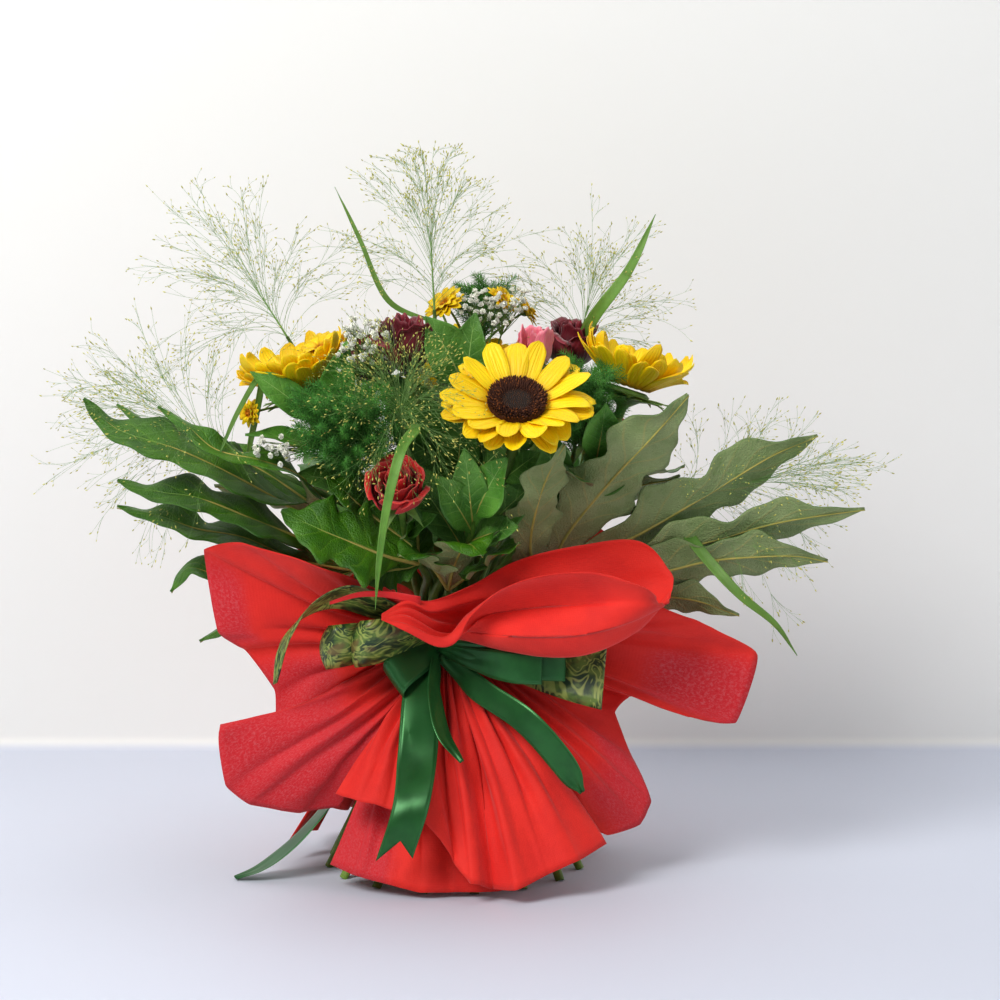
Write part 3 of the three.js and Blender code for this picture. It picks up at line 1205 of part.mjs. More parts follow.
const PRINTED_STRIPS = [
  // the wide tail to the right, behind the satin loop
  [[[-8, -37, 173], [12, -41, 162], [46, -52, 157], [80, -64, 154], [103, -71, 153]],
    [[0, 0.1, 1], [0.1, 0.3, 1]], [10, 18, 36, 50, 58]],
  // two round loops at the left
  [[[-14, -40, 172], [-36, -64, 172], [-58, -78, 171], [-65, -71, 169], [-46, -58, 168], [-18, -42, 168]],
    [[0.2, -0.3, 0.9], [0.1, -0.3, 0.95]], [12, 30, 36, 36, 28, 12]],
  [[[-14, -38, 172], [-50, -54, 169], [-80, -74, 168], [-86, -67, 166], [-66, -54, 165], [-22, -40, 168]],
    [[0.2, -0.2, 0.95], [0, -0.2, 0.95]], [10, 24, 32, 32, 24, 10]],
  // the pointed tail that arches over to the left
  [[[-14, -40, 175], [-44, -62, 190], [-76, -80, 203], [-101, -86, 192], [-115, -82, 170], [-121, -77,
    143]],
    [[0.2, -0.6, 0.8], [0.6, -0.6, 0.4]], [10, 20, 28, 28, 16, 4]],
];

putCarved('wrap_scroll', unionOf([
  sheet(smoothGrid(SCROLL, 10, 9), () => SHEET_THICKNESS / 2),
  ribbon(...SCROLL_TONGUE, SHEET_THICKNESS),
  ribbon(...SCROLL_RIM, SHEET_THICKNESS),
]), 'wrap');
putCarved('wrap_left', gatheredSheet(WRAP_LEFT, 5), 'wrap');
putCarved('wrap_right', gatheredSheet(WRAP_RIGHT, 5), 'wrap');
putCarved('wrap_front', gatheredSheet(WRAP_FRONT, 5), 'wrap');
putCarved('wrap_front_under', gatheredSheet(WRAP_FRONT_UNDER, 4), 'wrap');
putCarved('wrap_back', backSheet(), 'wrap');

const band = lathe([
  [BAND_INNER_RADIUS, TIE_HEIGHT - BAND_HALF_WIDTH], [BAND_INNER_RADIUS + BAND_THICKNESS,
    TIE_HEIGHT - BAND_HALF_WIDTH],
  [BAND_INNER_RADIUS + BAND_THICKNESS, TIE_HEIGHT + BAND_HALF_WIDTH], [BAND_INNER_RADIUS,
    TIE_HEIGHT + BAND_HALF_WIDTH],
  [BAND_INNER_RADIUS, TIE_HEIGHT - BAND_HALF_WIDTH],
], 20);
const knot = solidOf(new THREE.SphereGeometry(1, 7, 5).scale(9, 7, 7).translate(...BOW_KNOT));
const satin = [band, knot, ...SATIN_STRIPS.map(([points, ways, widths]) => ribbon(points, ways, widths))];
satin.push(ribbon(FLOOR_TAIL, FLOOR_TAIL_WAYS, [16, 22, SATIN_WIDTH, SATIN_WIDTH, SATIN_WIDTH, 20, 8]));
putCarved('ribbon_satin', unionOf(satin), 'satin', RIBBON_SIMPLE_TO);
const printedKnot = solidOf(new THREE.SphereGeometry(1, 7, 5).scale(8, 4.5, 4.5).translate(-13, -38.5,
  175));
const printed = [printedKnot, ...PRINTED_STRIPS.map(([points, ways, widths]) => ribbon(points, ways,
  widths))];
putCarved('ribbon_printed', unionOf(printed), 'printed', RIBBON_SIMPLE_TO);

for (const name of Object.keys(SPRIG_LEAVES)) sprig(name);
spray('spray_yellow_top', 101);
spray('spray_yellow_left', 131);
for (const name of Object.keys(GYPSOPHILA_SPREAD)) gypsophila(name);
for (const name of Object.keys(FERNS)) fern(name);

// ---------------------------------------------------------------- panicle grass

// reach is the branches' length and spread how far they lean out from the culm
const PANICLES = {
  panicle_top: { reach: [45, 72], spread: [16, 52], branches: 7, seed: 81 },
  panicle_top_right: { reach: [38, 66], spread: [20, 66], branches: 6, seed: 83 },
  panicle_left_high: { reach: [45, 72], spread: [18, 60], branches: 6, seed: 85 },
  panicle_left: { reach: [55, 92], spread: [18, 74], branches: 8, seed: 87 },
  panicle_centre: { reach: [40, 66], spread: [30, 96], branches: 9, seed: 89 },
  panicle_right: { reach: [50, 86], spread: [14, 62], branches: 8, seed: 91 },
};

// flat grass blades that grow from a panicle's stem: share up the stem, points, width
const GRASS_BLADES = {
  panicle_top: [[0.96, [[-45, -8, 398], [-65, -10, 441], [-82, -10, 477]], 4.5]],
  panicle_top_right: [[0.97, [[97, 6, 386], [121, -2, 420], [139, 0, 458]], 9]],
  panicle_centre: [[0.97, [[-24, -112, 320], [-32, -135, 310], [-41, -145, 277], [-47, -146, 238],
    [-50, -140, 204]], 7]],
  panicle_right: [[0.94, [[168, -50, 230], [194, -72, 203], [218, -76, 183], [233, -75, 162]], 8.5]],
  panicle_left: [[0.94, [[-130, -58, 350], [-143, -78, 330], [-159, -94, 292]], 4.5]],
};
const GRASS_OUTLINE = [0.5, 0.9, 1, 0.9, 0.6, 0];

// one branch of a panicle with a seed part of the way out and one at its tip
function seedBranch(root, bow, tip) {
  const curve = new THREE.QuadraticBezierCurve3(root, bow, tip);
  const seed = 2.2 / curve.getLength();
  const stations = [[0, 0.7], [0.6 - seed, 0.45], [0.6, 1.3], [0.6 + seed, 0.4], [1 - 2 * seed, 0.4],
    [1 - seed, 1.3], [1, 0.3]];
  return tubeSolid(curve, stations, 3);
}

function panicle(name) {
  const { reach, spread, branches, seed } = PANICLES[name];
  const culm = coreCurve(name);
  const growth = vec(HEADS[name].growth).normalize();
  const side = growth.clone().cross(new THREE.Vector3(0.2, 0.95, 0.1)).normalize();
  const other = growth.clone().cross(side);
  const parts = [];
  for (let k = 0; k < branches; k++) {
    const share = k / (branches - 1);
    const turn = k * 2.39996 + seed;
    const lean = radians(spread[1] + (spread[0] - spread[1]) * share);
    const out = side.clone().multiplyScalar(Math.cos(turn)).addScaledVector(other, Math.sin(turn));
    const heading = growth.clone().multiplyScalar(Math.cos(lean)).addScaledVector(out, Math.sin(lean));
    const length = between(seed, k, reach[0], reach[1]);
    const root = culm.getPointAt(0.1 + share * 0.85);
    const tip = root.clone().addScaledVector(heading, length).addScaledVector(UP, -length * 0.08);
    const bow = root.clone().addScaledVector(heading, length * 0.5).addScaledVector(UP, length * 0.05);
    parts.push(seedBranch(root, bow, tip));
  }
  for (const [share, points, width] of GRASS_BLADES[name] ?? []) {
    const { point } = stemPoint(name, share);
    const curve = new THREE.CatmullRomCurve3([point, ...points.map(vec)], false, 'centripetal');
    const half = (t) => (width / 2) * profileAt(GRASS_OUTLINE, t);
    parts.push(clearPart(blade(curve, new THREE.Vector3(0.1, -0.8, 0.5), half, { stations: 6,
      root: 1 }), name));
  }
  growOn(name, stems[name], parts, 'grass');
}

for (const name of Object.keys(PANICLES)) panicle(name);

const group = new THREE.Group();
for (const item of placed) {
  const [colour, roughness] = COLOURS[item.colour];
  const material = new THREE.MeshStandardMaterial({ color: colour, roughness, metalness: 0 });
  const mesh = new THREE.Mesh(geometryOf(item.solid), material);
  mesh.name = item.name;
  group.add(mesh);
}
const bounds = new THREE.Box3().setFromObject(group);
const centre = bounds.getCenter(new THREE.Vector3());
group.position.set(-centre.x, -centre.y, -bounds.min.z);

export default group;
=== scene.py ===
"""The looks of a mixed flower bouquet in a red non-woven wrap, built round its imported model.

Shapes are worked out in millimetres in the bouquet's own frame: the tie's axis is X = Y = 0, +Z is up
and the front looks towards -Y. in_frame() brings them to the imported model's place, in metres.
"""
import math

import bpy
import numpy as np
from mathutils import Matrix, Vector, noise


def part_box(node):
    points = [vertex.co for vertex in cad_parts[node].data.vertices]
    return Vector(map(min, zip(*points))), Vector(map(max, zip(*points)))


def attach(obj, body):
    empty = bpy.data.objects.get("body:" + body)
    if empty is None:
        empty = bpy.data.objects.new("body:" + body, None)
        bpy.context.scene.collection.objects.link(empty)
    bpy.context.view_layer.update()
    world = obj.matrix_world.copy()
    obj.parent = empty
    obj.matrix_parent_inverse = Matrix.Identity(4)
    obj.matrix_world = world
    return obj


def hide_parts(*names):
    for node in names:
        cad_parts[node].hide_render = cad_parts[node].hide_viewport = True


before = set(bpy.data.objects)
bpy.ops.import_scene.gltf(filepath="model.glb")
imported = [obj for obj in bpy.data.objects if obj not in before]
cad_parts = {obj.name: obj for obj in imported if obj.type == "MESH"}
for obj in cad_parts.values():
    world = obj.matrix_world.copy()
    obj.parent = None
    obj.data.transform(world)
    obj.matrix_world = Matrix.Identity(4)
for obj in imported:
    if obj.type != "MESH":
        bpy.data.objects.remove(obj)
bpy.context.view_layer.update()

# ---------------------------------------------------------------- driving dimensions, in millimetres

MM = 0.001
TIE_HEIGHT = 165
TIE_HALF_HEIGHT = 15
TIE_RADIUS = 27.6
STEM_RADIUS = 3.35
STRAIGHT_ABOVE_TIE = 22
# the spiral: each ring of stems leans one way round, the outer rings more: how many, radius, lean
STEM_RINGS = [(1, 0, 0), (6, 7.5, 9), (12, 14.0, 18), (16, 21.0, 28)]
NECK_RADIUS = 29.4
OUTSIDE_BAND = 38
BAND_RADIUS = 31.6
BAND_HALF_WIDTH = 6
SHEET_HALF = 0.2           # half the thickness of the wrap's cloth
RIBBON_HALF = 0.18
SATIN_WIDTH = 25
SUNFLOWER_RADIUS = 54
SUNFLOWER_DISC_RADIUS = 20
PETAL_ROOT = 15
GOLDEN_TURN = 2.39996

UP = np.array([0.0, 0.0, 1.0])
TIE_LOW, TIE_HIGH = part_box("stem_tie")
ORIGIN = np.array((TIE_LOW + TIE_HIGH) / 2) - np.array([0, 0, TIE_HEIGHT * MM])


def in_frame(points):
    """Points of the bouquet's own frame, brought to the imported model's place in metres."""
    return np.asarray(points, float) * MM + ORIGIN


# ---------------------------------------------------------------- lines and directions


def unit(vectors):
    """The vectors at length one, along their last axis."""
    vectors = np.asarray(vectors, float)
    return vectors / np.maximum(np.linalg.norm(vectors, axis=-1, keepdims=True), 1e-9)


def bezier(knots, shares):
    """Points on the Bezier curve of these knots at each share of the way."""
    shares = np.asarray(shares, float)[..., None]
    row = [np.asarray(knot, float) + 0 * shares for knot in knots]
    while len(row) > 1:
        row = [a + (b - a) * shares for a, b in zip(row, row[1:])]
    return row[0]


def steps(count):
    """Even shares from 0 to 1."""
    return np.linspace(0, 1, count)


def smooth_line(points, shares, tight=None):
    """Points on a Catmull-Rom curve through these points, at each share from 0 to 1: centripetal, or with
    corners as rounded as tight tells, from 0 for straight lines to 0.5."""
    points = np.asarray(points, float)
    knots = np.vstack([2 * points[0] - points[1], points, 2 * points[-1] - points[-2]])
    place = np.clip(shares, 0, 1) * (len(points) - 1)
    first = np.minimum(place.astype(int), len(points) - 2)
    share = (place - first)[:, None]
    a, b, c, d = (knots[first + i] for i in range(4))

    def gap(p, q):
        return np.maximum(np.linalg.norm(q - p, axis=1, keepdims=True) ** 0.5, 1e-4)

    if tight is None:
        before, here, after = gap(a, b), gap(b, c), gap(c, d)
        leave = ((b - a) / before - (c - a) / (before + here) + (c - b) / here) * here
        arrive = ((c - b) / here - (d - b) / (here + after) + (d - c) / after) * here
    else:
        leave, arrive = (c - a) * tight, (d - b) * tight
    bend = -3 * b + 3 * c - 2 * leave - arrive
    turn = 2 * b - 2 * c + leave + arrive
    return b + leave * share + bend * share**2 + turn * share**3


def even_line(points, count):
    """count points evenly along the smooth curve through these points."""
    fine = smooth_line(points, steps(160))
    run = np.concatenate([[0], np.cumsum(np.linalg.norm(np.diff(fine, axis=0), axis=1))])
    wanted = np.linspace(0, run[-1], count)
    return np.stack([np.interp(wanted, run, fine[:, i]) for i in range(3)], axis=1)


def shares_of(rows, columns, low=-1):
    """The share along a sheet at each row, as a column, and across it, from low to 1, as a row."""
    return steps(rows)[:, None], np.linspace(low, 1, columns)[None, :]


def length_of(line):
    """The length of a line of points."""
    return float(np.linalg.norm(np.diff(line, axis=0), axis=1).sum())


def profile(values, shares):
    """The value at each share of a profile given at even steps, smoothed between them."""
    curve = smooth_line([[i, v, 0] for i, v in enumerate(values)], steps(120))
    return np.interp(np.asarray(shares) * (len(values) - 1), curve[:, 0], curve[:, 1])


def step_between(low, high, values):
    """0 below low, 1 above high, and smooth between."""
    share = np.clip((np.asarray(values, float) - low) / (high - low), 0, 1)
    return share * share * (3 - 2 * share)


def looking(direction, spin=0.0):
    """A frame whose third column looks that way and whose first points as far up as it can, then is spun."""
    z = unit(direction)
    x = UP - z * z[2]
    x = np.array([0.0, 1.0, 0.0]) if np.linalg.norm(x) < 0.05 else unit(x)
    y = np.cross(z, x)
    along = x * math.cos(spin) + y * math.sin(spin)
    return np.stack([along, np.cross(z, along), z], axis=1)


def bumps(points, size, seed):
    """A smooth random height from -1 to 1 at each point; size is its wave in millimetres."""
    flat = np.asarray(points, float).reshape(-1, 3) / size + seed * 7.3
    heights = [noise.noise(Vector(point)) for point in flat]
    return np.array(heights).reshape(np.shape(points)[:-1])


# ---------------------------------------------------------------- piles of corners and faces


class Pile:
    """The corners and faces of one piece. Each corner has three marks that the materials read: how far
    across and along its petal, leaf or strip it lies, and a shade that differs from one to the next."""

    def __init__(self):
        self.points = []
        self.marks = []
        self.faces = []
        self.finishes = []
        self.count = 0

    def add(self, points, faces, marks=(0.5, 0.5, 0.5), finish=0):
        """Adds corners and groups of faces with equal numbers of corners."""
        points = np.asarray(points, float).reshape(-1, 3)
        marks = np.asarray(marks, float)
        marks = marks.reshape(-1, 3) if marks.ndim > 1 else marks
        self.points.append(points)
        self.marks.append(np.broadcast_to(marks, points.shape))
        groups = faces if isinstance(faces, (list, tuple)) else [faces]
        kinds = finish if isinstance(finish, (list, tuple)) else [finish] * len(groups)
        for group, kind in zip(groups, kinds):
            self.faces.append(np.asarray(group) + self.count)
            self.finishes.append(np.full(len(group), kind))
        self.count += len(points)


def quads(rows, columns, closed=False):
    """The four-cornered faces of a grid of corners, joined round its rows if closed."""
    i, j = np.meshgrid(np.arange(rows - 1), np.arange(columns if closed else columns - 1), indexing="ij")
    i, j = i.ravel(), j.ravel()
    near = (j + 1) % columns
    return np.stack([i * columns + j, (i + 1) * columns + j, (i + 1) * columns + near, i * columns + near], 1)


def rim_of(rows, columns):
    """The corners round a grid, in the order of its faces' edges."""
    down = [i * columns for i in range(rows - 1)]
    right = [(rows - 1) * columns + j for j in range(columns - 1)]
    up = [i * columns + columns - 1 for i in range(rows - 1, 0, -1)]
    left = list(range(columns - 1, 0, -1))
    return np.array(down + right + up + left)


def grid_normals(grid):
    """The way each corner of a grid faces."""
    return unit(np.cross(np.gradient(grid, axis=0), np.gradient(grid, axis=1)))


def add_blade(pile, grid, half, shade=0.5, finish=0, under=None, marks=None):
    """A closed sheet: a grid of points with half a thickness to each side and a narrow rim."""
    rows, columns = grid.shape[:2]
    size = rows * columns
    normals = grid_normals(grid)
    thick = np.broadcast_to(np.asarray(half, float), (rows, columns))[..., None]
    points = np.concatenate([(grid + sign * normals * thick).reshape(-1, 3) for sign in (1, -1)])
    if marks is None:
        along, across = np.meshgrid(steps(rows), steps(columns), indexing="ij")
        marks = np.stack([across, along, np.full(across.shape, shade)], -1)
    both = np.concatenate([marks.reshape(-1, 3)] * 2)
    top = quads(rows, columns)
    rim = rim_of(rows, columns)
    after = np.roll(rim, -1)
    wall = np.stack([after, rim, rim + size, after + size], 1)
    under = finish if under is None else under
    pile.add(points, [top, top[:, ::-1] + size, wall], both, [finish, under, finish])


def add_tube(pile, line, radii, sides=8, shade=0.5, finish=0, floor=None):
    """A closed tube along one line of points."""
    line = np.asarray(line, float)
    along = unit(np.gradient(line, axis=0))
    radii = np.broadcast_to(np.asarray(radii, float), len(line))
    side = np.array([0.0, 1.0, 0.0]) if abs(along[0][0]) > 0.8 else np.array([1.0, 0.0, 0.0])
    turns = np.arange(sides) * 2 * math.pi / sides
    rings = []
    for centre, way, radius in zip(line, along, radii):
        side = unit(side - way * side.dot(way))
        other = np.cross(way, side)
        rings.append(centre + radius * (np.outer(np.cos(turns), side) + np.outer(np.sin(turns), other)))
    points = np.concatenate(rings)
    if floor is not None:
        points[:, 2] = np.maximum(points[:, 2], floor)
    last = (len(line) - 1) * sides
    ends = [np.arange(sides)[None, :], last + np.arange(sides)[None, ::-1]]
    share = np.repeat(steps(len(line)), sides)
    marks = np.stack([np.tile(np.arange(sides) / sides, len(line)), share, np.full(len(points), shade)], 1)
    pile.add(points, [quads(len(line), sides, True)[:, ::-1], *ends], marks, finish)


def add_strands(pile, lines, radii, shades=0.5, finish=0):
    """Many fine three-sided tubes at once: lines is (how many, points each, 3)."""
    lines = np.asarray(lines, float)
    many, stations = lines.shape[:2]
    if many == 0:
        return
    along = unit(np.gradient(lines, axis=1))
    guide = np.where(np.abs(along[..., 2:]) > 0.85, np.array([1.0, 0, 0]), UP)
    side = unit(np.cross(along, guide))
    other = np.cross(along, side)
    turns = (np.arange(3) * 2 * math.pi / 3)[None, None, :, None]
    ring = np.cos(turns) * side[:, :, None] + np.sin(turns) * other[:, :, None]
    radii = np.broadcast_to(np.asarray(radii, float), (many, stations))
    points = lines[:, :, None] + ring * radii[:, :, None, None]
    size = stations * 3
    starts = (np.arange(many) * size)[:, None, None]
    wall = (quads(stations, 3, True)[:, ::-1][None] + starts).reshape(-1, 4)
    caps = np.array([[0, 1, 2], [size - 1, size - 2, size - 3]])
    caps = (caps[None] + starts).reshape(-1, 3)
    share = np.broadcast_to(steps(stations)[None, :, None], (many, stations, 3))
    shade = np.broadcast_to(np.asarray(shades, float).reshape(-1, 1, 1), (many, stations, 3))
    marks = np.stack([np.full(share.shape, 0.5), share, shade], -1)
    pile.add(points, [wall, caps], marks, finish)


def add_copies(pile, shape, places, frames, shades=0.5, finish=0):
    """Copies of one small shape, (points, groups of faces), each with its own place and frame."""
    points, groups = shape
    places, frames = np.asarray(places, float), np.asarray(frames, float)
    if len(places) == 0:
        return
    moved = places[:, None] + np.einsum("nij,mj->nmi", frames, points)
    starts = (np.arange(len(places)) * len(points))[:, None, None]
    faces = [(np.asarray(group)[None] + starts).reshape(-1, np.asarray(group).shape[1]) for group in groups]
    share = points[:, 2] / max(np.abs(points[:, 2]).max(), 1e-9)
    marks = np.empty(moved.shape)
    marks[..., 0] = 0.5
    marks[..., 1] = np.clip(share, 0, 1)[None]
    marks[..., 2] = np.broadcast_to(np.asarray(shades, float).reshape(-1, 1), moved.shape[:2])
    pile.add(moved, faces, marks, finish)


def frames_along(ways, scales, draw):
    """For each way, a frame whose third column points along it, with a random spin and its own scale."""
    ways = unit(ways)
    guide = np.where(np.abs(ways[:, 2:]) > 0.85, np.array([1.0, 0, 0]), UP)
    x = unit(np.cross(ways, guide))
    y = np.cross(ways, x)
    spin = draw.uniform(0, 2 * math.pi, len(ways))[:, None]
    first = x * np.cos(spin) + y * np.sin(spin)
    frames = np.stack([first, np.cross(ways, first), ways], axis=2)
    return frames * np.broadcast_to(np.asarray(scales, float).reshape(-1, 1, 1), frames.shape)


def spun(sides, radii, heights):
    """A small turned shape as corners and faces: rings from the bottom to the top, with flat ends."""
    turns = np.arange(sides) * 2 * math.pi / sides
    rings = [[r * np.cos(a), r * np.sin(a), h] for r, h in zip(radii, heights) for a in turns]
    last = (len(radii) - 1) * sides
    ends = [np.arange(sides)[None, ::-1], last + np.arange(sides)[None]]
    return np.array(rings), [quads(len(radii), sides, True)[:, ::-1], *ends]


# ---------------------------------------------------------------- shader nodes


def feed(tree, socket, value):
    """Another node's output linked to a socket, or a plain value set on it."""
    if isinstance(value, bpy.types.NodeSocket):
        tree.links.new(value, socket)
    else:
        socket.default_value = value


def node(tree, kind, inputs=None, **settings):
    """A node with its settings; each input takes a plain value or another node's output."""
    made = tree.nodes.new(kind)
    for key, value in settings.items():
        setattr(made, key, value)
    for key, value in (inputs or {}).items():
        feed(tree, made.inputs[key], value)
    return made


def maths(tree, operation, first, second=0.0, third=0.0):
    """The result of one sum."""
    made = node(tree, "ShaderNodeMath", {0: first, 1: second, 2: third}, operation=operation)
    return made.outputs[0]


def between(tree, value, low, high, to_low=0.0, to_high=1.0):
    """A value brought from one range to another, smooth at both ends."""
    inputs = {"Value": value, "From Min": low, "From Max": high, "To Min": to_low, "To Max": to_high}
    return node(tree, "ShaderNodeMapRange", inputs, interpolation_type="SMOOTHSTEP").outputs["Result"]


def blend(tree, share, first, second):
    """Two colours mixed by a share."""
    return node(tree, "ShaderNodeMix", {0: share, 6: first, 7: second}, data_type="RGBA").outputs[2]


def from_middle(tree, share):
    """How far a share lies from a half, to either side."""
    return maths(tree, "ABSOLUTE", maths(tree, "SUBTRACT", share, 0.5))


def cloud(tree, where, scale, detail, **more):
    """The strength of a soft noise at each place."""
    inputs = {"Vector": where, "Scale": scale, "Detail": detail, **more}
    return node(tree, "ShaderNodeTexNoise", inputs).outputs["Fac"]


def shaded(tree, colour, shade, dark, bright):
    """A colour made darker or brighter by a piece's own shade."""
    value = between(tree, shade, 0, 1, dark, bright)
    return node(tree, "ShaderNodeHueSaturation", {"Color": colour, "Value": value}).outputs[0]


def marks_of(tree):
    """The three marks that every corner of a piece holds."""
    held = node(tree, "ShaderNodeAttribute", attribute_name="marks")
    return node(tree, "ShaderNodeSeparateXYZ", {0: held.outputs["Vector"]}).outputs


def group_of(name, inputs, outputs):
    """A new node group with these named inputs and outputs, and its two end nodes."""
    tree = bpy.data.node_groups.new(name, "ShaderNodeTree")
    for label, kind, value in inputs:
        tree.interface.new_socket(label, in_out="INPUT", socket_type=kind).default_value = value
    for label, kind in outputs:
        tree.interface.new_socket(label, in_out="OUTPUT", socket_type=kind)
    return tree, tree.nodes.new("NodeGroupInput"), tree.nodes.new("NodeGroupOutput")


def place(tree, group, **inputs):
    """A node group placed in a tree with its own values."""
    given = {key.replace("_", " "): value for key, value in inputs.items()}
    return node(tree, "ShaderNodeGroup", given, node_tree=group).outputs


FLOAT, COLOUR = "NodeSocketFloat", "NodeSocketColor"
BLACK = (0, 0, 0, 1)


def mottle_group():
    """Soft patches of a second colour; patches are Size metres wide."""
    inputs = [("Colour", COLOUR, BLACK), ("Patch Colour", COLOUR, BLACK), ("Size", FLOAT, 0.01),
              ("Amount", FLOAT, 0.5)]
    tree, given, out = group_of("mottle", inputs, [("Colour", COLOUR)])
    where = node(tree, "ShaderNodeTexCoord").outputs["Object"]
    scale = maths(tree, "DIVIDE", 1.0, given.outputs["Size"])
    patches = between(tree, cloud(tree, where, scale, 4.0, Roughness=0.6), 0.35, 0.65)
    share = maths(tree, "MULTIPLY", patches, given.outputs["Amount"])
    tree.links.new(blend(tree, share, given.outputs["Colour"], given.outputs["Patch Colour"]), out.inputs[0])
    return tree


def veins_group():
    """A leaf's midrib and slanted side veins, read from the across and along marks."""
    inputs = [("Pairs", FLOAT, 8.0), ("Slant", FLOAT, 1.2), ("Width", FLOAT, 0.1), ("Midrib", FLOAT, 0.03)]
    tree, given, out = group_of("leaf veins", inputs, [("Vein", FLOAT), ("Midrib", FLOAT), ("Height", FLOAT)])
    across, along, _ = marks_of(tree)
    aside = from_middle(tree, across)
    bent = maths(tree, "POWER", aside, 0.8)
    lean = maths(tree, "MULTIPLY", bent, given.outputs["Slant"])
    turn = maths(tree, "SUBTRACT", maths(tree, "MULTIPLY", along, given.outputs["Pairs"]), lean)
    near = from_middle(tree, maths(tree, "FRACT", turn))
    side = maths(tree, "SUBTRACT", 1.0, between(tree, near, 0.0, given.outputs["Width"]))
    fading = maths(tree, "MULTIPLY", side, between(tree, aside, 0.5, 0.3))
    taper = maths(tree, "MULTIPLY", given.outputs["Midrib"], maths(tree, "SUBTRACT", 1.15, along))
    midrib = maths(tree, "SUBTRACT", 1.0, between(tree, aside, 0.0, taper))
    tree.links.new(fading, out.inputs["Vein"])
    tree.links.new(midrib, out.inputs["Midrib"])
    tree.links.new(maths(tree, "MAXIMUM", maths(tree, "MULTIPLY", fading, 0.5), midrib), out.inputs["Height"])
    return tree


def grooves_group():
    """Fine lines that run along a petal or blade, wandering a little."""
    inputs = [("Count", FLOAT, 6.0), ("Wander", FLOAT, 0.3)]
    tree, given, out = group_of("grooves", inputs, [("Height", FLOAT)])
    across, along, shade = marks_of(tree)
    stretched = maths(tree, "MULTIPLY", across, 6.0)
    where = node(tree, "ShaderNodeCombineXYZ", {0: stretched, 1: along, 2: shade}).outputs[0]
    shift = maths(tree, "MULTIPLY", cloud(tree, where, 2.0, 2.0), given.outputs["Wander"])
    turn = maths(tree, "MULTIPLY", maths(tree, "ADD", across, shift), given.outputs["Count"])
    wave = maths(tree, "SINE", maths(tree, "MULTIPLY", turn, 2 * math.pi))
    tree.links.new(maths(tree, "MULTIPLY_ADD", wave, 0.5, 0.5), out.inputs["Height"])
    return tree


MOTTLE = mottle_group()
VEINS = veins_group()
GROOVES = grooves_group()


def mottled(tree, colour, patch, size, amount):
    """A colour with soft patches of a second one."""
    return place(tree, MOTTLE, Colour=colour, Patch_Colour=patch, Size=size, Amount=amount)["Colour"]


def grooved(tree, count, wander):
    """The height of fine lengthwise lines."""
    return place(tree, GROOVES, Count=count, Wander=wander)["Height"]


def finish(name, colour, roughness, height=None, bump=0.3, deep=0.0005, **sockets):
    """A material with one shader. paint(tree) functions give its colour, roughness and height."""
    made = bpy.data.materials.new(name)
    made.use_nodes = True
    tree = made.node_tree
    shader = tree.nodes["Principled BSDF"]
    for key, value in {"Base Color": colour, "Roughness": roughness, **sockets}.items():
        feed(tree, shader.inputs[key.replace("_", " ")], value(tree) if callable(value) else value)
    if height is not None:
        lifted = node(tree, "ShaderNodeBump", {"Height": height(tree), "Strength": bump, "Distance": deep})
        tree.links.new(lifted.outputs["Normal"], shader.inputs["Normal"])
    return made


def tone(red, green, blue):
    """A screen colour from 0 to 255, as the light it stands for."""
    def light(value):
        value /= 255
        return value / 12.92 if value <= 0.04045 else ((value + 0.055) / 1.055) ** 2.4
    return (light(red), light(green), light(blue), 1)


def fine_noise(size):
    """A function that adds a fine random height to a tree."""
    def made(tree):
        where = node(tree, "ShaderNodeTexCoord").outputs["Object"]
        return between(tree, cloud(tree, where, 1 / size, 3.0), 0.3, 0.7)
    return made


# ---------------------------------------------------------------- the finishes


def plain_mottle(colour, patch, size=0.012):
    """Colour with soft patches of a second one, lighter or darker from one copy to the next."""
    def made(tree):
        return shaded(tree, mottled(tree, colour, patch, size, 0.8), marks_of(tree)[2], 0.72, 1.22)
    return made


def leaf_colour(blade_tone, patch, vein_tone, rib_tone, pairs, slant, root_tone=None):
    """Blade, patches, veins and midrib, with another colour near the root if it is given."""
    def made(tree):
        _, along, shade = marks_of(tree)
        base = mottled(tree, blade_tone, patch, 0.02, 0.9)
        if root_tone:
            base = blend(tree, between(tree, along, 0.5, 0.05, 0.0, 0.75), base, root_tone)
        light = shaded(tree, base, shade, 0.75, 1.2)
        veins = place(tree, VEINS, Pairs=pairs, Slant=slant, Width=0.09, Midrib=0.035)
        lined = blend(tree, maths(tree, "MULTIPLY", veins["Vein"], 0.5), light, vein_tone)
        return blend(tree, veins["Midrib"], lined, rib_tone)
    return made


def leaf_height(pairs, slant, raised):
    """The veins' height, raised on the under side and sunk on the upper one."""
    def made(tree):
        height = place(tree, VEINS, Pairs=pairs, Slant=slant, Width=0.16, Midrib=0.05)["Height"]
        return maths(tree, "MULTIPLY_ADD", height, raised, fine_noise(0.0012)(tree))
    return made


def groove_height(count):
    """Lengthwise grooves."""
    return lambda tree: grooved(tree, count, 0.25)


def yellow_petal(tree):
    """Warm yellow, deeper orange at the root, with fine lengthwise lines."""
    _, along, shade = marks_of(tree)
    lines = maths(tree, "MULTIPLY", grooved(tree, 7.0, 0.4), 0.3)
    body = blend(tree, lines, tone(255, 220, 0), tone(252, 188, 0))
    deep = blend(tree, between(tree, along, 0.32, 0.0, 0.0, 0.75), body, tone(232, 140, 0))
    return shaded(tree, deep, shade, 0.9, 1.08)


def disc_colour(tree):
    """A grey-brown middle inside a ring of brown florets with ochre tips."""
    across, along, shade = marks_of(tree)
    ring = blend(tree, between(tree, across, 0.38, 0.55), tone(62, 50, 44), tone(66, 30, 12))
    tips = maths(tree, "MULTIPLY", between(tree, along, 0.6, 1.0), between(tree, shade, 0.45, 0.9))
    return blend(tree, tips, ring, tone(150, 84, 26))


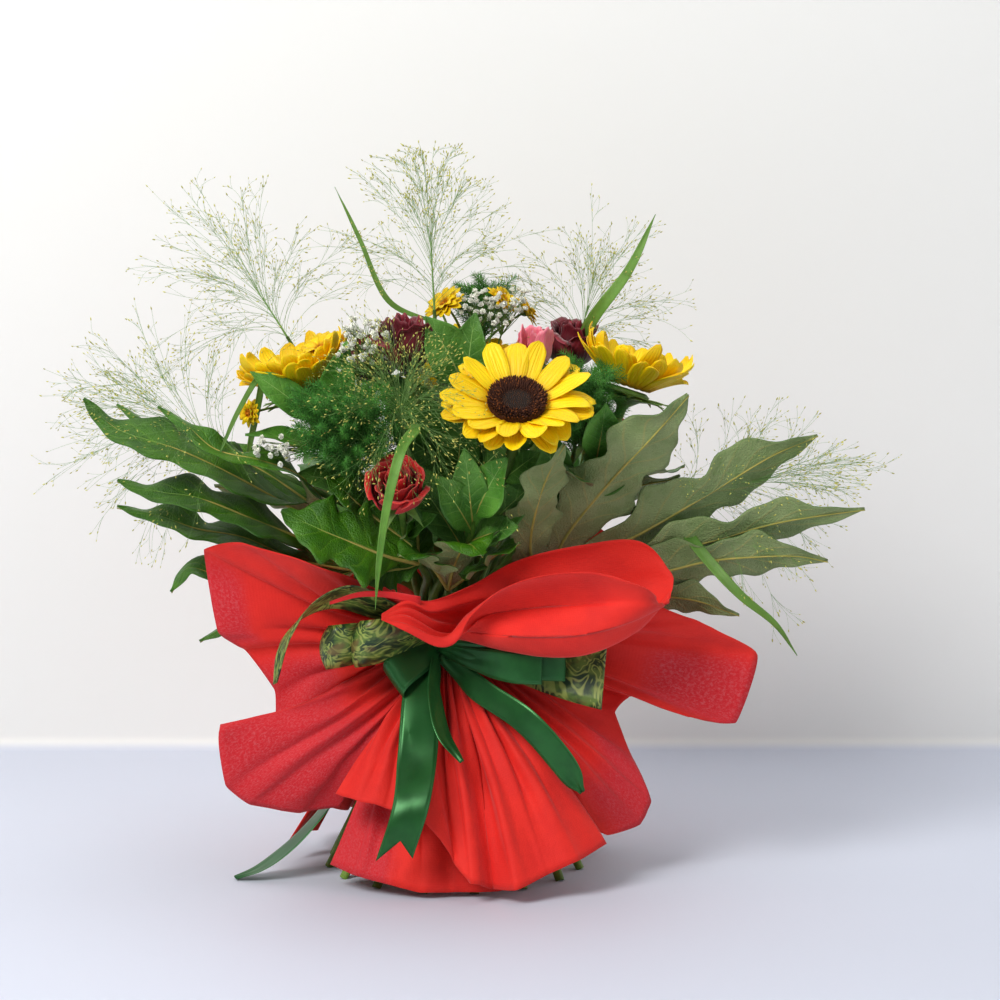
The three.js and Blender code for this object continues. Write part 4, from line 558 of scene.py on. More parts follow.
def rose_colour(deep, bright, edge):
    """Darker towards each petal's root and brighter over its face, with a thin edge colour and fine veins.
    For the burgundy and red blooms the dark roots are painted shade between the petals; the pink bloom is
    only paler at its roots.
    """
    def made(tree):
        _, along, shade = marks_of(tree)
        # painted shade: the dark colour at each petal's root stands for the shade between the burgundy and
        # red petals
        face = blend(tree, between(tree, along, 0.1, 0.85), deep, bright)
        face = blend(tree, maths(tree, "MULTIPLY", grooved(tree, 9.0, 0.5), 0.25), face, deep)
        face = blend(tree, between(tree, along, 0.93, 1.0, 0.0, 0.4), face, edge)
        return shaded(tree, face, shade, 0.7, 1.3)
    return made


EMBOSS_PITCH = 1.5   # the pressed dots of the non-woven cloth


def emboss(tree):
    """Rows of small pressed dots over the cloth. A wrap's marks are millimetres across and along."""
    across, along, _ = marks_of(tree)
    turn = 2 * math.pi / EMBOSS_PITCH / math.sqrt(2)
    first, second = (maths(tree, "SINE", maths(tree, "MULTIPLY", maths(tree, way, across, along), turn))
                     for way in ("ADD", "SUBTRACT"))
    return maths(tree, "MULTIPLY_ADD", maths(tree, "MULTIPLY", first, second), 0.5, 0.5)


def fibres(tree):
    """The cloud of fibres that shows where the cloth is sheer."""
    across, along, _ = marks_of(tree)
    where = node(tree, "ShaderNodeCombineXYZ", {0: across, 1: along}).outputs[0]
    return between(tree, cloud(tree, where, 0.9, 8.0, Roughness=0.8, Distortion=0.4), 0.44, 0.74)


def wrap_colour(tree):
    """Bright red with fine fibres; where the cloth is sheer it turns lighter and pinker, painted light from
    behind shining through between the fibres.
    """
    sheer = marks_of(tree)[2]
    cloth = mottled(tree, tone(230, 38, 24), tone(214, 26, 20), 0.03, 0.7)
    dotted = blend(tree, maths(tree, "MULTIPLY", emboss(tree), 0.12), cloth, tone(250, 80, 60))
    # painted light: the pale pink between the dark red fibres stands for light from behind shining through
    # the sheer cloth
    fibres_over_painted_backlight = blend(tree, fibres(tree), tone(200, 18, 38), tone(238, 118, 126))
    return blend(tree, maths(tree, "MULTIPLY", sheer, 0.8), dotted, fibres_over_painted_backlight)


def wrap_alpha(tree):
    """Slightly see-through between the fibres at the sheer edges."""
    sheer = marks_of(tree)[2]
    gaps = maths(tree, "MULTIPLY", fibres(tree), sheer)
    return maths(tree, "SUBTRACT", 1.0, maths(tree, "MULTIPLY", gaps, 0.3))


def satin_height(tree):
    """The cross threads of satin and the raised selvedge along both edges."""
    across, along, _ = marks_of(tree)
    threads = maths(tree, "SINE", maths(tree, "MULTIPLY", along, 900.0))
    aside = from_middle(tree, across)
    edge = maths(tree, "MULTIPLY", between(tree, aside, 0.455, 0.47), 3.0)
    return maths(tree, "MULTIPLY_ADD", threads, 0.15, edge)


def satin_colour(tree):
    """Bottle green, a little lighter along the woven edges."""
    aside = from_middle(tree, marks_of(tree)[0])
    cloth = mottled(tree, tone(42, 104, 50), tone(32, 84, 42), 0.02, 0.6)
    return blend(tree, between(tree, aside, 0.44, 0.46, 0.0, 0.45), cloth, tone(68, 132, 76))


def printed_colour(tree):
    """A print of overlapping blurred leaves: wandering light lines over green and brown patches."""
    across, along, _ = marks_of(tree)
    where = node(tree, "ShaderNodeCombineXYZ", {0: across, 1: maths(tree, "MULTIPLY", along, 2.2)}).outputs[0]
    flow = cloud(tree, where, 2.3, 2.5, Distortion=0.9)
    lines = maths(tree, "SINE", maths(tree, "MULTIPLY", flow, 62.0))
    patches = cloud(tree, where, 5.0, 3.0)
    warm = cloud(tree, where, 3.1, 2.0, Distortion=0.5)
    body = blend(tree, between(tree, patches, 0.38, 0.62), tone(26, 58, 30), tone(104, 130, 56))
    lined = blend(tree, between(tree, lines, -0.1, 0.95, 0.0, 0.7), body, tone(172, 184, 96))
    brown = blend(tree, between(tree, warm, 0.54, 0.68, 0.0, 0.7), lined, tone(116, 84, 52))
    return blend(tree, between(tree, warm, 0.42, 0.3, 0.0, 0.85), brown, tone(18, 40, 22))


FINISHES = {
    "stem": finish("stem green", plain_mottle(tone(112, 146, 62), tone(86, 122, 48)), 0.5,
                   fine_noise(0.002), Subsurface_Weight=0.05),
    "culm": finish("grass culm", plain_mottle(tone(134, 170, 96), tone(108, 150, 76)), 0.6),
    "rib": finish("leaf rib", plain_mottle(tone(186, 172, 92), tone(160, 158, 74)), 0.55),
    "seed": finish("grass seed", plain_mottle(tone(208, 204, 110), tone(170, 172, 84), 0.004), 0.6),
    "grass": finish("grass blade", plain_mottle(tone(106, 154, 58), tone(80, 130, 42), 0.02), 0.45,
                    groove_height(9.0), 0.4, 0.0003, Subsurface_Weight=0.08),
    "fern": finish("fern needle", plain_mottle(tone(98, 164, 66), tone(60, 130, 46), 0.01), 0.55),
    "leaf": finish("glossy leaf top", leaf_colour(tone(74, 126, 14), tone(46, 96, 9), tone(104, 148, 34),
                   tone(138, 174, 70), 9.0, 2.6), 0.34, leaf_height(9.0, 2.6, -1.0), 0.6, 0.0007,
                   Coat_Weight=0.1, Coat_Roughness=0.3),
    "leaf_under": finish("matt leaf back", leaf_colour(tone(148, 164, 112), tone(128, 150, 94),
                         tone(176, 168, 104), tone(204, 184, 100), 9.0, 2.6, tone(156, 122, 88)), 0.6,
                         leaf_height(9.0, 2.6, 1.0), 0.7, 0.0009),
    "sprig": finish("ovate leaf", leaf_colour(tone(98, 150, 58), tone(66, 120, 38), tone(128, 172, 86),
                    tone(160, 194, 112), 7.0, 2.2), 0.4, leaf_height(7.0, 2.2, -1.0), 0.5, 0.0005),
    "yellow": finish("yellow petal", yellow_petal, 0.5, groove_height(5.0), 0.55, 0.0006,
                     Subsurface_Weight=0.3, Subsurface_Radius=(0.004, 0.002, 0.0005)),
    "disc": finish("brown disc floret", disc_colour, 0.85),
    "pollen": finish("orange button", plain_mottle(tone(222, 150, 20), tone(180, 104, 12), 0.002), 0.8),
    # burgundy and red: the first colour, at each petal's root, is painted shade between the petals
    "burgundy": finish("burgundy petal", rose_colour(tone(58, 8, 20), tone(128, 26, 44), tone(150, 44, 62)),
                       0.5, groove_height(7.0), 0.4, 0.0005, Sheen_Weight=0.35, Sheen_Roughness=0.4),
    "red": finish("red petal", rose_colour(tone(120, 6, 14), tone(206, 34, 34), tone(232, 116, 96)), 0.48,
                  groove_height(7.0), 0.4, 0.0005, Sheen_Weight=0.2),
    "pink": finish("pink petal", rose_colour(tone(236, 170, 160), tone(228, 104, 132), tone(240, 160, 176)),
                   0.5, groove_height(11.0), 0.4, 0.0005, Subsurface_Weight=0.1),
    "white": finish("white floret", plain_mottle(tone(244, 244, 236), tone(222, 224, 206), 0.003), 0.7),
    "wrap": finish("red non-woven cloth", wrap_colour, 0.72, lambda tree: maths(
        tree, "MULTIPLY_ADD", emboss(tree), 0.7, fine_noise(0.0016)(tree)), 0.3, 0.0003,
        Alpha=wrap_alpha, Sheen_Weight=0.15),
    "satin": finish("green satin", satin_colour, 0.34, satin_height, 0.25, 0.0002, Anisotropic=0.5,
                    Metallic=0.45, Specular_IOR_Level=0.6),
    "printed": finish("leaf-printed satin", printed_colour, 0.4, fine_noise(0.0012), 0.15, 0.0002,
                      Specular_IOR_Level=0.6),
    "tie": finish("twine", plain_mottle(tone(158, 148, 104), tone(122, 112, 76), 0.003), 0.8,
                  fine_noise(0.0008)),
}


def build(name, pile, finishes, nodes=()):
    """One piece from its pile: it rides on the body and stands for its nodes."""
    name = f"{name}_fine" if name in bpy.data.objects else name
    mesh = bpy.data.meshes.new(name)
    points = in_frame(np.concatenate(pile.points))
    sizes = np.concatenate([np.full(len(group), group.shape[1]) for group in pile.faces])
    corners = np.concatenate([group.ravel() for group in pile.faces])
    mesh.vertices.add(len(points))
    mesh.vertices.foreach_set("co", points.ravel())
    mesh.loops.add(len(corners))
    mesh.loops.foreach_set("vertex_index", corners.astype(np.int32))
    mesh.polygons.add(len(sizes))
    starts = np.concatenate([[0], np.cumsum(sizes)[:-1]])
    mesh.polygons.foreach_set("loop_start", starts.astype(np.int32))
    mesh.polygons.foreach_set("material_index", np.concatenate(pile.finishes).astype(np.int32))
    mesh.polygons.foreach_set("use_smooth", np.ones(len(sizes), bool))
    mesh.update(calc_edges=True)
    marks = mesh.attributes.new("marks", "FLOAT_VECTOR", "POINT")
    marks.data.foreach_set("vector", np.concatenate(pile.marks).astype(np.float32).ravel())
    for key in finishes:
        mesh.materials.append(FINISHES[key])
    piece = bpy.data.objects.new(name, mesh)
    bpy.context.scene.collection.objects.link(piece)
    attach(piece, "root")
    if nodes:
        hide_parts(*nodes)
    return piece


# ---------------------------------------------------------------- heads and their stems

# where each stem ends, the way it points there, and its radius at the top
HEADS = {
    "panicle_top": (0, (-14, 0, 392), (-0.05, 0, 1), 1.3),
    "spray_yellow_top": (1, (8, 22, 372), (0.1, 0.1, 1), 1.8),
    "gypsophila_top": (1, (22, 10, 362), (0.1, -0.05, 1), 1.4),
    "fern_top": (1, (20, 40, 372), (0.05, 0.1, 1), 1.5),
    "sprig_centre": (1, (8, -40, 340), (0, -0.3, 1), 1.8),
    "rose_burgundy_left": (1, (-28, -42, 350), (-0.15, -0.25, 1), 2.8),
    "pink_bloom": (1, (52, -16, 347), (0.1, -0.2, 1), 2.6),
    "rose_burgundy_right": (2, (76, 24, 348), (0.3, -0.15, 1), 2.8),
    "panicle_top_right": (2, (86, 40, 362), (0.25, 0.05, 1), 1.3),
    "spray_yellow_left": (2, (-84, 2, 335), (-0.45, -0.2, 1), 1.8),
    "gypsophila_left": (2, (-66, -38, 335), (-0.2, -0.4, 1), 1.4),
    "rose_burgundy_back": (2, (-54, 60, 336), (-0.35, 0.4, 0.9), 2.8),
    "sprig_left": (2, (-92, -48, 318), (-0.5, -0.3, 0.8), 1.8),
    "fern_right": (2, (82, -52, 300), (0.1, -0.2, 1), 1.5),
    "sunflower_back": (2, (6, 92, 318), (0, 0.7, 0.75), 3.6),
    "sunflower_left": (2, (-101, -24, 328), (-0.3, -0.05, 0.95), 3.6),
    "panicle_left_high": (2, (-118, 20, 372), (-0.6, 0, 1), 1.3),
    "panicle_centre": (2, (-34, -84, 322), (-0.05, -0.4, 1), 1.3),
    "fern_left": (2, (-66, -70, 284), (-0.15, -0.45, 0.9), 1.5),
    "sunflower_right": (3, (116, -22, 328), (0.3, 0.05, 0.95), 3.6),
    "fern_back": (3, (-76, 88, 280), (-0.3, 0.4, 1), 1.5),
    "sunflower_front": (3, (42, -96, 323), (0.03, -0.62, 0.78), 3.6),
    "rose_red_back": (3, (92, 72, 292), (0.5, 0.45, 0.8), 2.8),
    "sprig_right": (3, (96, -58, 290), (0.1, -0.2, 1), 1.8),
    "sprig_low": (3, (14, -76, 255), (0.1, -0.4, 1), 1.8),
    "rose_red_front": (3, (-35, -92, 268), (-0.1, -0.7, 0.72), 2.8),
    "panicle_left": (3, (-152, -46, 300), (-0.9, -0.1, 0.55), 1.3),
    "panicle_right": (3, (158, -14, 262), (1, -0.1, 0.3), 1.3),
    "leaf_right": (3, (60, -44, 200), (0.85, -0.25, 0.45), 2.6),
    "leaf_left_high": (3, (-72, -24, 236), (-0.85, -0.1, 0.5), 2.6),
    "leaf_left_low": (3, (-69, -14, 212), (-0.95, 0, 0.3), 2.6),
    "leaf_front_left": (3, (-24, -56, 222), (-0.5, -0.6, 0.6), 2.6),
    "leaf_front": (3, (-4, -52, 204), (0.1, -0.6, 0.8), 2.6),
    "leaf_back_left": (3, (-58, 52, 222), (-0.6, 0.6, 0.5), 2.6),
    "leaf_back_right": (3, (54, 58, 222), (0.6, 0.6, 0.5), 2.6),
}


def stem_slots(ring):
    """The place round the tie of each stem of one ring, in the order of the heads they carry."""
    count, radius, lean = STEM_RINGS[ring]
    wanted = []
    for name, (own, (x, y, z), _, _) in HEADS.items():
        if own == ring:
            turn = math.atan2((z - TIE_HEIGHT) * math.tan(math.radians(lean)), max(radius, 1))
            wanted.append((math.atan2(y, x) - min(turn, math.radians(75)), name))
    wanted.sort(key=lambda item: item[0])
    step = 2 * math.pi / count
    start = sum(angle - i * step for i, (angle, _) in enumerate(wanted)) / len(wanted)
    return {name: start + i * step for i, (_, name) in enumerate(wanted)}


SLOTS = {name: slot for ring in range(len(STEM_RINGS)) for name, slot in stem_slots(ring).items()}


def stem_parts(name):
    """A stem's foot on the floor and the four knots of its bend from above the tie to its head."""
    ring, at, growth, _ = HEADS[name]
    _, radius, lean = STEM_RINGS[ring]
    slot, tilt = SLOTS[name], math.radians(lean)
    middle = np.array([radius * math.cos(slot), radius * math.sin(slot), TIE_HEIGHT])
    way = np.array([-math.sin(slot) * math.sin(tilt), math.cos(slot) * math.sin(tilt), math.cos(tilt)])
    foot = middle - way * TIE_HEIGHT / way[2]
    start = middle + way * STRAIGHT_ABOVE_TIE / way[2]
    end = np.array(at, float)
    reach = np.linalg.norm(end - start) * 0.38
    return foot, [start, start + way * reach, end - unit(growth) * reach, end]


def stem_point(name, share):
    """The point and direction part of the way up a stem's bend."""
    _, knots = stem_parts(name)
    near = bezier(knots, [share - 0.01, share, share + 0.01])
    return near[1], unit(near[2] - near[0])


def add_stem(pile, name, finish=0):
    """A stem from its cut foot to its head, tapering towards the head, its thickness varied a little at
    random.
    """
    foot, knots = stem_parts(name)
    shares = steps(22)
    line = np.vstack([foot + (knots[0] - foot) * steps(14)[:-1, None], bezier(knots, shares)])
    thin = HEADS[name][3]
    low = STEM_RADIUS - 0.1
    radii = np.concatenate([np.full(13, low), low + (thin - STEM_RADIUS) * shares])
    draw = np.random.RandomState(len(name) * 7 + abs(int(foot[0])))
    radii = radii * (1 + 0.05 * draw.uniform(-1, 1, len(radii)))
    add_tube(pile, line, radii, 10, draw.uniform(), finish, floor=0.0)


def bare_stem(name):
    """The stem of a plant whose leaves are a piece of their own."""
    stem = Pile()
    add_stem(stem, name)
    build(name, stem, ["stem"], [name])


# the culms and plume cores that go straight on from a stem's head: length and thickness
CORES = {
    "panicle_top": (58, 1.2), "panicle_top_right": (34, 1.2), "panicle_left_high": (44, 1.2),
    "panicle_left": (46, 1.2), "panicle_centre": (14, 1.2), "panicle_right": (62, 1.2),
    "fern_left": (62, 1.5), "fern_top": (34, 1.5), "fern_right": (56, 1.5), "fern_back": (56, 1.5),
}


def core_line(name, count=12):
    """Points along a culm or a plume's core."""
    _, at, growth, _ = HEADS[name]
    way, base, length = unit(growth), np.array(at, float), CORES[name][0]
    tip = base + way * length - UP * length * 0.06
    return bezier([base - way * 4, base + way * length * 0.55, tip], steps(count))


def stem_leaves(pile, name, draw, finish):
    """The small leaves left on a bloom's stem among the other greenery."""
    for k, share in enumerate((0.42, 0.55, 0.68, 0.8)):
        root, along = stem_point(name, share)
        turn = k * GOLDEN_TURN + draw.uniform(0, 1)
        out = unit([math.cos(turn), math.sin(turn), 0.4])
        tip = root + out * draw.uniform(26, 36) + along * draw.uniform(6, 16)
        facing = unit(np.array([0.0, -0.6, 0.6]) + unit([root[0], root[1], 0]) * 0.5)
        line = bezier([root, (root + tip) / 2 + facing * 5, tip], steps(16))
        halves = draw.uniform(8, 11) * profile([0.14, 0.6, 0.98, 1, 0.8, 0.42, 0.03], steps(16))
        grid = blade_grid(line, facing, halves, 9, 0.22, lambda t, s: 0.8 * np.abs(s) * np.sin(t * 14 + s))
        add_blade(pile, grid, 0.2, draw.uniform(), finish)


# ---------------------------------------------------------------- blooms


def bloom_frame(name):
    """The place and frame of a bloom on its stem."""
    _, at, growth, _ = HEADS[name]
    return np.array(at, float), looking(growth)


def set_in(points, place_at, basis):
    """Points of a bloom's own frame, brought to its place."""
    return place_at + np.einsum("ij,...j->...i", basis, np.asarray(points, float))


def turned(grid, angle):
    """A grid turned round the Z axis."""
    c, s = math.cos(angle), math.sin(angle)
    x, y, z = grid[..., 0], grid[..., 1], grid[..., 2]
    return np.stack([x * c - y * s, x * s + y * c, z], -1)


def add_round(pile, grid, angle, spot, half, shade):
    """A blade turned round its bloom's axis; spot is the bloom's place and frame."""
    add_blade(pile, set_in(turned(grid, angle), *spot), half, shade)


def ray_petal(draw, reach, width, lift, droop, height, rows=13, columns=7):
    """One ray petal that leaves its flower along X: grooved, cupped and a little twisted."""
    t, s = shares_of(rows, columns)
    outline = profile([0.42, 0.72, 0.95, 1.0, 0.98, 0.84, 0.25], t)
    half = width / 2 * outline * (1 + 0.05 * draw.uniform(-1, 1))
    out = PETAL_ROOT + reach * t * np.cos(lift * t)
    rise = height + reach * t * math.sin(lift) + 6 * t * (1 - t) - droop * t * t
    cup = draw.uniform(0.08, 0.3) * half * s * s * (1 - 0.5 * t)
    groove = 0.45 * np.cos(s * math.pi * 2.0) * np.sin(np.pi * np.clip(t * 1.05, 0, 1))
    twist = draw.uniform(-0.45, 0.45) * t
    curl = draw.uniform(-4.5, 4.5) * t**3
    side = half * s
    bend = draw.uniform(-4.5, 4.5) * t * t
    height = rise + cup + groove + curl + side * np.sin(twist)
    return np.stack([out + 0 * s, side * np.cos(twist) + bend + 0 * s, height], -1)


def sunflower_petals(name, draw, spot, per_layer, closed, width):
    """Three layers of ray petals."""
    petals = Pile()
    for layer, (level, lift) in enumerate([(14.6, 20), (13.0, 6), (13.8, 13)]):
        count = per_layer if layer < 2 else per_layer // 2
        for k in range(count):
            angle = 2 * math.pi * (k + layer * 0.5 + draw.uniform(-0.16, 0.16)) / count
            upward = math.cos(angle)
            reach = SUNFLOWER_RADIUS * draw.uniform(0.86, 1.0) - PETAL_ROOT
            droop = max(0.0, -upward) * (1 + 3 * layer) + draw.uniform(0, 2.5)
            slope = math.radians(closed + lift + (7 if upward > 0 else -10) * upward + draw.uniform(-4, 4))
            grid = ray_petal(draw, reach, width * draw.uniform(0.87, 1.13), slope, droop, level)
            add_round(petals, grid, angle, spot, 0.22, draw.uniform())
    build(f"{name}_petals", petals, ["yellow"], [f"{name}_petals"])


# the disc's radius and height from its middle over its ring to its edge
DISC_LINE = [[0, 19.2, 0], [6, 19.8, 0], [11, 20.8, 0], [15.5, 22.3, 0], [19, 20.6, 0], [19.3, 15, 0]]
DISC_STATIONS = 24
DISC_SIDES = 48
DISC_FLORETS = 620


def sunflower_disc(name, draw, spot, narrow):
    """A shell under a spiral of florets, small in the middle and taller in the ring round it."""
    disc = Pile()
    line = smooth_line(DISC_LINE, steps(DISC_STATIONS)) * [narrow, 1, 1]
    radii, heights = line[:, :1], line[:, 1:2]
    turns = np.arange(DISC_SIDES) * 2 * math.pi / DISC_SIDES
    shell = np.stack([radii * np.cos(turns), radii * np.sin(turns), np.repeat(heights, DISC_SIDES, 1)], -1)
    shell[0, :, :2] *= 0
    marks = np.zeros(shell.shape)
    marks[..., 0] = radii / SUNFLOWER_DISC_RADIUS
    marks[..., 2] = 0.3
    points = np.concatenate([set_in(shell, *spot).reshape(-1, 3), set_in([[0, 0, 15.0]], *spot)])
    last, base = (DISC_STATIONS - 1) * DISC_SIDES, DISC_STATIONS * DISC_SIDES
    cap = np.array([[last + (k + 1) % DISC_SIDES, last + k, base] for k in range(DISC_SIDES)])
    marks = np.concatenate([marks.reshape(-1, 3), [[0.9, 0, 0.3]]])
    disc.add(points, [quads(DISC_STATIONS, DISC_SIDES, True), cap], marks)
    order = np.arange(DISC_FLORETS)
    radius = 19.0 * narrow * np.sqrt((order + 0.5) / DISC_FLORETS)
    angle = order * GOLDEN_TURN
    floor = np.interp(radius, line[:-3, 0], line[:-3, 1])
    foot = np.stack([radius * np.cos(angle), radius * np.sin(angle), floor - 0.4], 1)
    outer = step_between(8.5, 11.5, radius)
    lean = np.stack([np.cos(angle), np.sin(angle), 0 * angle], 1) * (0.1 + 0.5 * outer)[:, None]
    ways = UP + lean + draw.uniform(-0.22, 0.22, (DISC_FLORETS, 3)) * (0.3 + outer)[:, None]
    scales = 0.55 + 0.55 * outer * draw.uniform(0.7, 1.25, DISC_FLORETS)
    floret = spun(5, [0.62, 0.75, 0.5, 0.12], [0, 1.2, 2.3, 3.3])
    shades = draw.uniform(0, 1, DISC_FLORETS)
    for chosen in (slice(0, 150), slice(150, 330), slice(330, DISC_FLORETS)):
        frames = frames_along(ways[chosen], scales[chosen], draw)
        copies = Pile()
        add_copies(copies, floret, foot[chosen], frames, shades[chosen])
        held = np.array(copies.marks[0])
        held[:, 0] = np.linalg.norm(copies.points[0][:, :2], axis=1) / SUNFLOWER_DISC_RADIUS
        disc.add(set_in(copies.points[0], *spot), copies.faces, held)
    build(f"{name}_disc", disc, ["disc"], [f"{name}_disc"])


def sunflower(name, seed, per_layer, closed):
    """Layers of ray petals round a disc of florets on a green cup with pointed bracts. closed tells how many
    degrees further its petals stand up than in a full open flower."""
    spot = bloom_frame(name)
    narrow, width = (0.87, 12.0) if closed > 10 else (1.0, 15.5)
    draw = np.random.RandomState(seed)
    sunflower_petals(name, draw, spot, per_layer, closed, width)
    sunflower_disc(name, draw, spot, narrow)
    green = Pile()
    add_stem(green, name)
    cup, groups = spun(24, [3.2, 4.8, 9.5, 15.5, 16.4, 13.5], [-3, -0.6, 3.2, 7.6, 9.4, 11.4])
    green.add(set_in(cup, *spot), groups, (0.5, 0.5, 0.4))
    for k in range(22):
        angle = 2 * math.pi * (k + draw.uniform(-0.2, 0.2)) / 22
        low = k % 2
        tip = draw.uniform(27, 34)
        knots = [[9 + 3 * low, 0, 4 + 2 * low], [20, 0, 7 + 2 * low], [tip, 0, draw.uniform(3, 9)]]
        halves = 4.6 * profile([0.75, 1, 0.85, 0.45, 0.03], steps(9))
        grid = blade_grid(bezier(knots, steps(9)), UP, halves, 5, 0.18)
        add_round(green, grid, angle, spot, 0.25, draw.uniform())
    stem_leaves(green, name, draw, 1)
    build(name, green, ["stem", "sprig"], [name])


def blade_grid(line, facing, halves, columns=9, cup=0.0, wave=None):
    """A blade's points along a line, its upper side towards facing; halves is half its width at each
    point, cup lifts its edges and wave(t, s) adds a height."""
    line = np.asarray(line, float)
    along = unit(np.gradient(line, axis=0))
    across = unit(np.cross(np.broadcast_to(np.asarray(facing, float), along.shape), along))
    normal = np.cross(along, across)
    s = np.linspace(-1, 1, columns)
    halves = np.asarray(halves, float)[:, None]
    height = cup * halves * s[None, :] ** 2
    if wave is not None:
        height = height + wave(steps(len(line))[:, None], s[None, :])
    return line[:, None] + across[:, None] * (halves * s)[..., None] + normal[:, None] * height[..., None]


def cupped_petal(draw, share, radius, top, span, curl, point, rows=11, columns=13):
    """One petal of a layered bloom, wrapped round Z: it swells, then its lip rolls outwards."""
    t, s = shares_of(rows, columns)
    shoulder = 1 - point * np.abs(s) ** 2.6 - 0.03 * np.cos(s * 9 + share * 20)
    swell = profile([0.3, 0.66, 0.95, 1.06, 1.04, 0.98, 1.0], t)
    out = radius * swell + 0.9 * s * (0.5 + t) + curl * step_between(0.72, 1.0, t) * (1 - 0.25 * s * s)
    height = 3.4 + (top - 3.4) * t**1.08 * shoulder - curl * 0.75 * step_between(0.8, 1.0, t)
    ruffle = (0.2 + 0.6 * share) * t**3 * np.sin(s * draw.uniform(3, 6) + draw.uniform(0, 6))
    angle = span * s * (0.55 + 0.45 * np.sin(math.pi * np.clip(t, 0, 0.85) ** 0.7))
    out = out + ruffle
    return np.stack([out * np.cos(angle), out * np.sin(angle), height + ruffle * 0.4 + 0 * s], -1)


# each kind of bloom: its widest radius and its top before it is scaled, how far its petals roll outwards,
# how pointed they are, and how far its heart stands below its rim
BLOOM_FORMS = {"burgundy": (22.0, 34.0, 1.35, 0.18, 6), "red": (22.0, 34.0, 1.0, 0.24, 0),
               "pink": (18.0, 38.0, 0.1, 0.26, 13)}


def layered_bloom(name, seed, key, size, tall, petals):
    """A bud opened from its heart outwards: every petal a sheet of its own, in a spiral. size scales the
    whole bloom and tall its height once more."""
    widest, top, opening, point, tuck = BLOOM_FORMS[key]
    spot = bloom_frame(name)
    draw = np.random.RandomState(seed)
    bloom = Pile()
    for k in range(petals):
        share = k / (petals - 1)
        radius = 2.0 + (widest - 4.5) * share**1.15
        lip = top * (1.0 + 0.06 * math.sin(k * 2.1)) - 5.5 * share
        curl = opening * 5.6 * share**1.8
        lip -= tuck * (1 - share) ** 2
        grid = cupped_petal(draw, share, radius, lip, math.radians(88 - 34 * share), curl, point)
        grid = turned(grid, k * GOLDEN_TURN + draw.uniform(-0.2, 0.2)) * [size, size, size * tall]
        grid[..., 2] += 3.2 * (1 - size * tall)
        add_blade(bloom, set_in(grid, *spot), 0.2, draw.uniform())
    build(f"{name}_bloom", bloom, [key], [f"{name}_bloom"])

    green = Pile()
    add_stem(green, name)
    hip, groups = spun(16, [2.6, 4.0, 6.2, 5.6, 4.0], [-3, -1.6, 0.6, 2.2, 3.0])
    green.add(set_in(hip, *spot), groups)
    for k in range(5):
        line = bezier([[3, 0, 0.5], [12, 0, 4], [22, 0, -7 + draw.uniform(-3, 3)]], steps(9))
        grid = blade_grid(line, UP, 3.4 * profile([0.8, 1, 0.8, 0.4, 0.03], steps(9)), 5, 0.2)
        add_round(green, grid, 2 * math.pi * k / 5 + seed, spot, 0.25, draw.uniform())
    stem_leaves(green, name, draw, 1)
    build(name, green, ["stem", "sprig"], [name])


# ---------------------------------------------------------------- large lobed leaves

